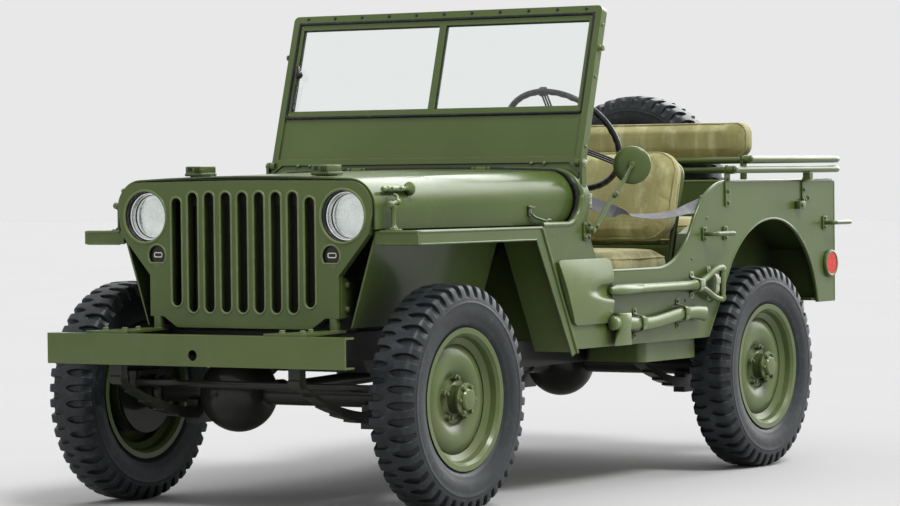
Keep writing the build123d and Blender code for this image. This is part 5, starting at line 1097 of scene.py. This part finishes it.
hardware = bmesh.new()
for side, label in ((1, "left"), (-1, "right")):
    line = []
    for i in range(STRAP_PARTS + 1):
        share = i / STRAP_PARTS
        point = STRAP_ENDS[0].lerp(STRAP_ENDS[1], share)
        point.z -= 4 * STRAP_SAG * share * (1 - share)
        line.append(Vector((side * point.x, point.y, point.z)))
    length = sum((b - a).length for a, b in zip(line, line[1:]))
    bm = bmesh.new()
    rings = []
    for i, spot in enumerate(frames_along(line, False, X_AXIS)):
        turned = spot @ Matrix.Rotation(side * strap_turn(i / STRAP_PARTS), 4, "Z")
        curl = [(0.0012 * (2 * k / 6 - 1) ** 2, (k / 6 - 0.5) * STRAP_WIDTH) for k in range(7)]
        section = [(x + STRAP_THICK / 2, y) for x, y in curl]
        section += [(x - STRAP_THICK / 2, y) for x, y in reversed(curl)]
        rings.append(ring_of(bm, turned, section))
    loop_faces(bm, rings, False)
    strap = finish_piece(
        f"strap_{label}", bm, "webbing", nodes=["safety_straps"] if side > 0 else [], angle=60
    )
    for end, ahead in ((STRAP_ENDS[0], -1), (STRAP_ENDS[1], 1)):
        at = Vector((side * end.x, end.y, end.z))
        ring = [at + Vector((0, x, y)) for x, y in rounded_box(0.020, 0.054, 0.006, 3)]
        tube(hardware, ring, 0.0032, 8, True)
        block(hardware, at + Vector((0, -ahead * 0.022, 0)), (0.0065, 0.020, 0.048), 0.0015)
        for rise in (0.010, -0.010):
            rivet(hardware, at + Vector((side * 0.003, -ahead * 0.022, rise)), (side, 0, 0), 0.0050)
        tube(
            hardware, [at + Vector((0, ahead * 0.008, 0)), at + Vector((0, ahead * 0.022, 0.004))],
            0.0050, 8
        )
finish_piece("strap_buckles", hardware, "cast_metal", look=BOLT)

# Body edges: door cut and tub top, wheel arch, fender flanges
S_ARC, S_LOW, S_HIGH, S_SPAN = 0.2957, (0.110, 0.725), (0.620, 1.017), 59.6
DOOR_EDGE = mm(-355.5, 955, -369, 904, -364, 862, -346, 822, -315, 778, -286, 744, -255, 726.5)
DOOR_EDGE += arc((S_LOW[0], S_LOW[1] + S_ARC), S_ARC, -90, -90 + S_SPAN, 12)
DOOR_EDGE += arc((S_HIGH[0], S_HIGH[1] - S_ARC), S_ARC, 90 + S_SPAN, 90, 12)[1:]
TUB_REAR = 1.465
ARCH_EDGE = mm(468, 480, 645.2, 735) + arc((0.9641, 0.4691), 0.4152, 136, 90, 12)
ARCH_EDGE += arc((0.9641, 0.5194), 0.3649, 90, 11, 18)[1:] + [(1.330, 0.572)]
bm = bmesh.new()
for side in SIDES:
    tube(bm, side_path(side * 0.6330, DOOR_EDGE + [(TUB_REAR - 0.03, 1.0170)]), 0.0080, 10)
    tube(bm, side_path(side * 0.6375, ARCH_EDGE), 0.0050, 8)
    tail = [(side * 0.6345, -0.657, 0.8760), (side * 0.6345, -0.441, 0.4660)]
    sweep(bm, tail, rounded_box(0.022, 0.011, 0.004, 3), False, X_AXIS)
    for level, rear, thick in ((0.8785, -0.655, 0.0056), (0.8415, -0.690, 0.0038)):
        rim = [
            (side * x, y, level) for x, y in ((0.500, -1.3885), (0.6375, -1.3885), (0.6375, rear))
        ]
        tube(bm, rounded_path(rim, 0.014), thick, 8)
    tube(
        bm, [(side * 0.6365, TUB_REAR - 0.003, 1.010), (side * 0.6365, TUB_REAR - 0.003, 0.575)],
        0.0055, 8
    )
tube(bm, [(0.630, TUB_REAR - 0.007, 1.0165), (-0.630, TUB_REAR - 0.007, 1.0165)], 0.0080, 10)
finish_piece("rolled_edges", bm, "body_paint")

# Brackets, bolts, rivets and handle foot plates on the tub
bm = bmesh.new()
for side in SIDES:
    out = (side, 0, 0)
    for y, z in ((0.609, 1.025), (0.611, 0.984), (0.611, 0.944)):
        bolt(bm, (side * 0.646, y, z), out, 0.0060, 0.0060)
    bolt(bm, (side * 0.6775, 0.605, 1.060), out, 0.0100, 0.0090)
    for y, z in ((1.195, 0.948), (1.211, 0.948), (1.203, 0.985)):
        bolt(bm, (side * 0.646, y, z), out, 0.0055, 0.0060)
    block(bm, (side * 0.652, 1.160, 0.930), (0.022, 0.046, 0.030), 0.004)
    bolt(bm, (side * 0.663, 1.152, 0.930), out, 0.0070, 0.0070)
    bolt(bm, (side * 0.6405, 1.246, 0.955), out, 0.0065, 0.0070)
    for y in (0.436, 0.591):
        prism(
            bm, facing((side * BODY_HALF, y, 0.838), out), rounded_box(0.030, 0.048, 0.008, 3),
            0.0065, 0.0015
        )
        for dz in (-0.0165, 0.0165):
            bolt(bm, (side * 0.6465, y, 0.838 + dz), out, 0.0048, 0.0050)
    prism(
        bm, facing((side * BODY_HALF, 1.375, 0.862), out), rounded_box(0.034, 0.050, 0.008, 3),
        0.0065, 0.0015
    )
    prism(
        bm, facing((side * 0.550, TUB_REAR, 0.862), Y_AXIS), rounded_box(0.034, 0.050, 0.008, 3),
        0.0065, 0.0015
    )
    for dz in (-0.0175, 0.0175):
        bolt(bm, (side * 0.6465, 1.375, 0.862 + dz), out, 0.0048, 0.0050)
        bolt(bm, (side * 0.550, TUB_REAR + 0.0065, 0.862 + dz), Y_AXIS, 0.0048, 0.0050)
    for y, z in ((0.462, 0.893), (0.351, 0.753), (0.30, 0.612)):
        rivet(bm, (side * BODY_HALF, y, z), out, 0.0060)
finish_piece("tub_brackets", bm, "body_paint")
bm = bmesh.new()
for side in SIDES:
    bolt(bm, (side * 0.674, 0.735, 1.096), (side, 0, 0), 0.0090, 0.0080)
finish_piece("bow_pivot_bolts", bm, "body_paint", "main_bow")

# Reflector and rear lamp rims
bm = bmesh.new()
RIM = mm(0, 0, 6.5, 1, 8, 8, 6, 13.5, 1, 15, -3, 13, -3, 2)
for side in SIDES:
    lathe(
        bm, facing((side * BODY_HALF, 1.417, 0.711), (side, 0, 0)),
        [(0.043 + r, h) for r, h in RIM], 40, True
    )
    for radius, height, depth in ((0.046, 0.760, 0.030), (0.038, 0.650, 0.014)):
        lathe(
            bm, facing((side * 0.520, TUB_REAR, height), Y_AXIS),
            [(radius + r, h * (depth / 0.0125)) for r, h in RIM], 36, True
        )
finish_piece("reflector_rims", bm, "tool_paint")

# Shovel: domed blade with a hollow for the socket, shaft and forked grip
SHOVEL_X, SHOVEL_Z, BLADE_HALF = 0.644, 0.664, 0.108
BLADE_ROWS = (
    # distance up from the middle, front edge, rear edge
    (0.108, -0.5530, -0.2600),
    (0.100, -0.5690, -0.2340),
    (0.080, -0.5620, -0.2300),
    (0.055, -0.5520, -0.2270),
    (0.042, -0.5465, -0.2250),
    (0.030, -0.5410, -0.2235),
    (0.020, -0.5370, -0.2215),
    (0.010, -0.5320, -0.2200),
    (0.0, -0.5280, -0.2195),
    (-0.010, -0.5230, -0.2200),
    (-0.020, -0.5180, -0.2215),
    (-0.030, -0.5130, -0.2235),
    (-0.042, -0.5055, -0.2250),
    (-0.055, -0.4980, -0.2270),
    (-0.080, -0.4820, -0.2300),
    (-0.100, -0.4680, -0.2340),
    (-0.108, -0.4520, -0.2600),
)
BLADE_STEPS = 22
BLADE_DOME, BLADE_HOLLOW = 0.0180, 0.0150


def blade_rise(across, along):
    """Height of the blade's outer face: a shallow dome and the hollow that takes the socket."""
    dome = BLADE_DOME * (1 - (across / BLADE_HALF) ** 2)
    reach = max(0.0, (along - 0.38) / 0.62)
    width = 0.010 + 0.018 * reach
    hollow = BLADE_HOLLOW * min(1.0, 1.8 * reach) * math.exp(-((across / width) ** 4))
    return 0.0045 + dome * (0.45 + 0.55 * math.sin(math.pi * min(1.0, 0.15 + along * 0.7))) - hollow


bm = bmesh.new()
outer, inner = [], []
for across, front, rear in BLADE_ROWS:
    spots = [
        (i / BLADE_STEPS, front + (rear - front) * i / BLADE_STEPS) for i in range(BLADE_STEPS + 1)
    ]
    outer.append(
        [bm.verts.new((SHOVEL_X + blade_rise(across, a), y, SHOVEL_Z + across)) for a, y in spots]
    )
    inner.append([bm.verts.new((SHOVEL_X - 0.003, y, SHOVEL_Z + across)) for a, y in spots])
for grid in (outer, inner):
    for low, high in zip(grid, grid[1:]):
        for i in range(BLADE_STEPS):
            bm.faces.new((low[i], low[i + 1], high[i + 1], high[i]))
rim_out, rim_in = (
    grid[0] + [row[-1] for row in grid[1:-1]] + grid[-1][::-1] + [row[0] for row in grid[-2:0:-1]]
    for grid in (outer, inner)
)
for i in range(len(rim_out)):
    j = (i + 1) % len(rim_out)
    bm.faces.new((rim_out[i], rim_out[j], rim_in[j], rim_in[i]))
SHAFT_X = SHOVEL_X + 0.019
shaft = facing((SHAFT_X, -0.262, SHOVEL_Z), Y_AXIS)
socket = mm(0, 0, 10, 4, 17.5, 40, 19, 75, 19, 205, 17.2, 208)
shank = mm(16.8, 212, 16.5, 500, 16.5, 575, 19, 580, 19, 630, 15, 637, 0, 638)
lathe(bm, shaft, socket + shank, 20)
for turn in SIDES:
    arm = mm(350, 4, 410, 21, 462, 43, 500, 53, 533, 55)
    arm = [(SHAFT_X, y, SHOVEL_Z + turn * rise) for y, rise in arm]
    tube(bm, curve_points(arm), 0.0110, 12)
    lathe(
        bm, facing((SHAFT_X, 0.529, SHOVEL_Z + turn * 0.044), (0, 0, turn)),
        mm(0, 0, 13.5, 0, 13.5, 12, 10, 15, 0, 15), 14
    )
lathe(
    bm, facing((SHAFT_X, 0.529, SHOVEL_Z - 0.050), Z_AXIS),
    mm(0, 0, 10.5, 0, 12.5, 50, 10.5, 100, 0, 100), 16
)
finish_piece("shovel_tool", bm, "tool_paint", nodes=["shovel"], angle=50)

# Axe: ground head and a swept helve
bm = bmesh.new()
AXE_X, AXE_Y, AXE_Z = 0.665, -0.180, 0.545
HEAD_ROWS = (
    # height from the eye, half length, half thickness
    (0.042, 0.034, 0.0150),
    (0.038, 0.037, 0.0170),
    (0.012, 0.036, 0.0170),
    (-0.018, 0.035, 0.0150),
    (-0.040, 0.046, 0.0090),
    (-0.058, 0.056, 0.0035),
    (-0.066, 0.058, 0.0008),
)
rings = []
for height, half, thick in HEAD_ROWS:
    shape = rounded_box(2 * thick, 2 * half, min(thick, 0.010) * 0.98, 3)
    rings.append([bm.verts.new((AXE_X + x, AXE_Y + y, AXE_Z + height)) for x, y in shape])
loop_faces(bm, rings, False)
HELVE = mm(-248, 556, -180, 555, -80, 547, 20, 546, 120, 556, 220, 568, 320, 570, 390, 564)
HELVE_HALF = (0.0138, 0.0225)
path = curve_points([(AXE_X, y, z) for y, z in HELVE], 5)
rings = []
for i, spot in enumerate(frames_along(path, False, X_AXIS)):
    share = i / (len(path) - 1)
    swell = 1.0 + 0.18 * max(0.0, (share - 0.82) / 0.18) + 0.10 * max(0.0, 1 - share / 0.15)
    rings.append(ring_of(bm, spot, circle(swell, 16), 0.0, *HELVE_HALF))
loop_faces(bm, rings, False)
collar = facing((AXE_X, -0.246, 0.556), -Y_AXIS)
lathe(
    bm, collar @ Matrix.Diagonal((1.0, 1.3, 1.0, 1.0)),
    mm(0, -14, 16.5, -14, 18.5, -10, 18.5, 4, 15, 8, 0, 9), 22
)
finish_piece("axe_tool", bm, "tool_paint", nodes=["axe"], angle=45)

# Spring clips that hold the tools, bare at the shovel's grip and painted along the axe
CLIPS = (
    # along the side, height, half width, out from the side, painted
    (0.345, 0.664, 0.021, 0.044, False),
    (0.470, 0.664, 0.034, 0.036, False),
    (-0.060, 0.547, 0.026, 0.042, True),
    (0.240, 0.569, 0.026, 0.042, True),
)
bare, painted = bmesh.new(), bmesh.new()
for y, z, half, out, coat in CLIPS:
    bm = painted if coat else bare
    band = [
        (0.6405, y, z - half - 0.026), (0.6415, y, z - half - 0.004),
        (BODY_HALF + out, y, z - half + 0.002)
    ]
    band += [
        (BODY_HALF + out, y, z + half - 0.002), (0.6415, y, z + half + 0.004),
        (0.6405, y, z + half + 0.026)
    ]
    sweep(bm, rounded_path(band, 0.012, 5), rounded_box(0.0030, 0.024, 0.001, 2), False, X_AXIS)
    for turn in SIDES:
        bolt(bm, (0.6425, y, z + turn * (half + 0.016)), X_AXIS, 0.0052, 0.0055)
    block(bm, (0.6415 + out, y, z + half * 0.35), (0.006, 0.030, 0.022), 0.0015)
finish_piece("tool_clips", bare, "tool_paint", look=CLIP_METAL)
finish_piece("axe_clips", painted, "tool_paint")

# Steering wheel: gripped rim, three sprung spokes, hub and horn button
STEER_AT = Vector((0.340, -0.010, 1.165))
STEER_AXIS = Vector((0, 0.788011, 0.615661))
STEER_RADIUS, RIM_THICK = 0.208, 0.0108
GRIPS, GRIP_DEPTH = 36, 0.0014
bm = bmesh.new()
steer = facing(STEER_AT, STEER_AXIS)
rings = []
RIM_STEPS = GRIPS * 5
for i in range(RIM_STEPS):
    a = 2 * math.pi * i / RIM_STEPS
    grip = GRIP_DEPTH * math.cos(GRIPS * a)
    spot = steer @ Matrix.Rotation(a, 4, "Z") @ Matrix.Translation((STEER_RADIUS, 0, 0))
    ring = []
    for k in range(12):
        t = 2 * math.pi * k / 12
        under = max(0.0, -math.sin(t) - 0.1 * math.cos(t))
        r = RIM_THICK + grip * under
        ring.append(bm.verts.new(spot @ Vector((r * math.cos(t), 0, r * math.sin(t)))))
    rings.append(ring)
loop_faces(bm, rings, True)
lathe(bm, steer, mm(0, -110, 9, -110, 9, -56, 26, -54, 29, -30, 30, -8, 27, 4, 0, 5), 26)
finish_piece(
    "steering_rim", bm, "wheel_black", "steering_wheel", nodes=["steering_wheel"], angle=45
)
bm = bmesh.new()
for turn in (90, 210, 330):
    ray = Matrix.Rotation(math.radians(turn), 4, "Z")
    for off in (-0.010, 0.0, 0.010):
        spoke = [
            (0.024, off, -0.010), (0.090, off, -0.004), (0.160, off, 0.0),
            (STEER_RADIUS - 0.004, off, 0.0)
        ]
        tube(bm, [steer @ ray @ Vector(p) for p in curve_points(spoke, 4)], 0.0034, 8)
    clip = steer @ ray @ Matrix.Translation((STEER_RADIUS, 0, 0))
    block(bm, clip, (0.0255, 0.030, 0.0255), 0.006)
lathe(bm, steer, mm(0, 3, 19, 3, 19.5, 8, 15, 12.5, 0, 14), 24)
finish_piece("steering_spokes", bm, "wheel_black", "steering_wheel")

# Dash: dials, switches, grab handle; levers and pedals
DASH_Y = -0.316
DIALS = (
    # across, height, radius
    (0.0, 1.014, 0.0420),
    (0.088, 1.038, 0.0230),
    (0.088, 0.990, 0.0230),
    (-0.088, 1.038, 0.0230),
    (-0.088, 0.990, 0.0230),
)
NEEDLE_TURN = math.radians(50)
rims, faces, marks = bmesh.new(), bmesh.new(), bmesh.new()
for x, z, radius in DIALS:
    place = facing((x, DASH_Y, z), Y_AXIS)
    bezel = mm(0, -1, 4, 0, 4, 6, 1, 8, -2, 6.5)
    lathe(rims, place, [(radius + r, h) for r, h in bezel], 32, True)
    lathe(faces, place, [(0.0, 0.0010), (radius, 0.0010), (radius, 0.0025), (0.0, 0.0027)], 32)
    for tick in range(9):
        a = math.radians(-40 + 260 * tick / 8)
        spot = place @ Matrix.Rotation(a, 4, "Z") @ Matrix.Translation((radius * 0.78, 0, 0.0030))
        block(marks, spot, (radius * 0.22, radius * 0.06, 0.0008), 0.0002)
    ahead = Matrix.Translation((radius * 0.30, 0, 0.0042))
    needle = place @ Matrix.Rotation(NEEDLE_TURN, 4, "Z") @ ahead
    block(marks, needle, (radius * 0.72, radius * 0.05, 0.0008), 0.0002)
for x, z in ((0.170, 1.012), (0.205, 1.012), (0.240, 1.012), (-0.170, 1.000)):
    knob = mm(0, 0, 11, 0, 11, 3, 5, 4, 5, 18, 10, 21, 10.5, 30, 0, 33)
    lathe(rims, facing((x, DASH_Y, z), Y_AXIS), knob, 18)
finish_piece("dash_rims", rims, "lamp_black")
finish_piece("dash_faces", faces, "lamp_black", look=DIAL_FACE)
finish_piece("dash_marks", marks, "clear_glass", look=DIAL_MARK)

bm = bmesh.new()
grab = [
    (-0.470, DASH_Y - 0.004, 1.012), (-0.470, DASH_Y + 0.052, 1.012),
    (-0.300, DASH_Y + 0.052, 1.012), (-0.300, DASH_Y - 0.004, 1.012)
]
tube(bm, rounded_path(grab, 0.024), 0.0080, 12)
for x in (-0.470, -0.300):
    prism(bm, facing((x, DASH_Y, 1.012), Y_AXIS), rounded_box(0.036, 0.036, 0.010, 3), 0.005, 0.001)
finish_piece("grab_handle", bm, "body_paint")

LEVERS = (
    # foot (x, y), top (x, y, z), rod radius, knob radius
    ((0.000, -0.120), (0.030, -0.060, 0.790), 0.0075, 0.0220),
    ((-0.070, -0.080), (-0.085, -0.010, 0.690), 0.0065, 0.0160),
    ((-0.110, -0.080), (-0.135, -0.010, 0.690), 0.0065, 0.0160),
)
FLOOR_Z = 0.505
rods, knobs = bmesh.new(), bmesh.new()
for (x, y), top, rod, knob in LEVERS:
    lathe(
        rods, Matrix.Translation((x, y, FLOOR_Z)),
        mm(0, -1, 52, -1, 52, 4, 34, 10, 26, 34, 14, 48, 0, 50), 22
    )
    line = [
        (x, y, FLOOR_Z + 0.040), (x * 0.9 + top[0] * 0.1, y + 0.004, FLOOR_Z + 0.13),
        (top[0], top[1] - 0.008, top[2] - 0.05), top
    ]
    tube(rods, curve_points(line), rod, 10)
    turns = [math.pi * i / 8 for i in range(9)]
    ball = [(knob * math.sin(a), -knob * math.cos(a)) for a in turns]
    lathe(knobs, Matrix.Translation(top), ball, 18)
PEDALS = (
    # across, height, pad half size (x, z)
    (0.430, 0.665, 0.034, 0.026),
    (0.295, 0.665, 0.034, 0.026),
    (0.195, 0.620, 0.020, 0.060),
)
for x, z, half_x, half_z in PEDALS:
    tilt = facing((x, -0.235, z), (0, 0.75, 0.66))
    block(knobs, tilt, (2 * half_x, 2 * half_z, 0.010), 0.003)
    for rib in range(-2, 3):
        block(
            knobs, tilt @ Matrix.Translation((0, rib * half_z * 0.36, 0.006)),
            (1.7 * half_x, 0.004, 0.004), 0.001
        )
    tube(
        rods,
        curve_points([(x, -0.240, z - 0.006), (x, -0.290, z - 0.050), (x, -0.340, z - 0.075)]),
        0.0080, 10
    )
finish_piece("lever_rods", rods, "chassis_paint")
finish_piece("lever_knobs", knobs, "wheel_black")

# Fasteners on the bumper's gussets, the frame and the shield plates
FASTENERS = (
    # place, normal, size, height; each also on the right
    ((0.300, -1.628, 0.5760), (0, 0, 1), 0.0100, 0.0100),
    ((0.375, -1.628, 0.5760), (0, 0, 1), 0.0100, 0.0100),
    ((0.330, -1.520, 0.5760), (0, 0, 1), 0.0090, 0.0090),
    ((0.3655, -1.560, 0.530), (1, 0, 0), 0.0090, 0.0090),
    ((0.3655, -1.500, 0.530), (1, 0, 0), 0.0090, 0.0090),
    ((0.3650, -1.372, 0.716), (1, 0, 0), 0.0085, 0.0080),
    ((0.3650, -1.372, 0.640), (1, 0, 0), 0.0085, 0.0080),
    ((0.3650, -1.262, 0.650), (1, 0, 0), 0.0120, 0.0160),
)
bm = bmesh.new()
for at, normal, size, height in FASTENERS:
    for side in SIDES:
        bolt(
            bm, (side * at[0], at[1], at[2]), (side * normal[0], normal[1], normal[2]), size, height
        )
finish_piece("frame_bolts", bm, "tool_paint")

# Floor, light and camera

CAMERA_TURN, CAMERA_RISE, CAMERA_ROLL = (math.radians(a) for a in (32.281, 2.122, -0.592))
CAMERA_AIM = Vector((0, -0.170, 0.600))
CAMERA_RANGE = 12.0
CAMERA_LENS, CAMERA_SENSOR, CAMERA_CLIP = 140.02, 36.0, 200.0
CAMERA_SHIFT = (-0.00597, 0.0597)
FLOOR_HALF = 60.0
SKY_LOW, SKY_HIGH, SKY_SPAN = 0.807, 0.95, (0.12, 0.75)
REAR_BOX, REAR_BOX_SPAN, REAR_BOX_GAIN = (0.05, 0.84, 0.54), (0.80, 0.93), 4.8
FLOOR_TONE = 0.360
SUN_TOWARD, SUN_STRENGTH, SUN_ANGLE = (0.52, -0.13, 0.86), 2.60, 18


def stage_floor():
    bm = bmesh.new()
    bmesh.ops.create_grid(bm, x_segments=8, y_segments=8, size=FLOOR_HALF)
    obj = mesh_object("studio_floor", bm)
    mat, tree, shader = blank("studio_floor", Roughness=1.0, Specular_IOR_Level=0.0)
    tone = span(tree, place_noise(tree, 0.6, 3), 0.3, 0.7)
    tones = [(FLOOR_TONE + d,) * 3 + (1.0,) for d in (-0.003, 0.003)]
    wire(shader, Base_Color=mix_colour(tree, tone, *tones))
    obj.data.materials.append(mat)


def studio_sky():
    """Even at the horizon, a little brighter overhead, with a soft box high behind the car."""
    world = bpy.data.worlds.new("studio")
    bpy.context.scene.world = world
    world.use_nodes = True
    tree = world.node_tree
    backdrop = tree.nodes["Background"]
    height = node(
        tree, "SeparateXYZ", {0: node(tree, "TexCoord").outputs["Generated"]}
    ).outputs["Z"]
    share = span(tree, height, *SKY_SPAN)
    tones = [(tone, tone, tone, 1.0) for tone in (SKY_LOW, SKY_HIGH)]
    toward = node(
        tree, "VectorMath", {0: node(tree, "TexCoord").outputs["Generated"], 1: REAR_BOX},
        operation="DOT_PRODUCT"
    )
    glow = span(tree, toward.outputs["Value"], *REAR_BOX_SPAN, 0.0, REAR_BOX_GAIN)
    lit = mix_colour(tree, 1.0, mix_colour(tree, share, *tones), glow, "ADD")
    tree.links.new(lit, backdrop.inputs["Color"])


def sun(name, toward, strength, angle):
    light = bpy.data.lights.new(name, "SUN")
    light.energy = strength
    light.angle = math.radians(angle)
    obj = bpy.data.objects.new(name, light)
    obj.rotation_mode = "QUATERNION"
    obj.rotation_quaternion = Vector(toward).to_track_quat("Z", "Y")
    bpy.context.scene.collection.objects.link(obj)


stage_floor()
studio_sky()
sun("key_sun", SUN_TOWARD, SUN_STRENGTH, SUN_ANGLE)
bpy.context.scene.view_settings.view_transform = "Standard"

camera_data = bpy.data.cameras.new("camera")
camera_data.lens = CAMERA_LENS
camera_data.sensor_width = CAMERA_SENSOR
camera_data.shift_x, camera_data.shift_y = CAMERA_SHIFT
camera_data.clip_end = CAMERA_CLIP
camera = bpy.data.objects.new("camera", camera_data)
bpy.context.scene.collection.objects.link(camera)
back = Vector((
    math.sin(CAMERA_TURN) * math.cos(CAMERA_RISE),
    -math.cos(CAMERA_TURN) * math.cos(CAMERA_RISE),
    math.sin(CAMERA_RISE),
))
level = Vector((math.cos(CAMERA_TURN), math.sin(CAMERA_TURN), 0))
upward = back.cross(level)
right = level * math.cos(CAMERA_ROLL) + upward * math.sin(CAMERA_ROLL)
above = upward * math.cos(CAMERA_ROLL) - level * math.sin(CAMERA_ROLL)
stand = Matrix((right, above, back)).transposed().to_4x4()
stand.translation = CAMERA_AIM + back * CAMERA_RANGE
camera.matrix_world = stand
bpy.context.scene.camera = camera
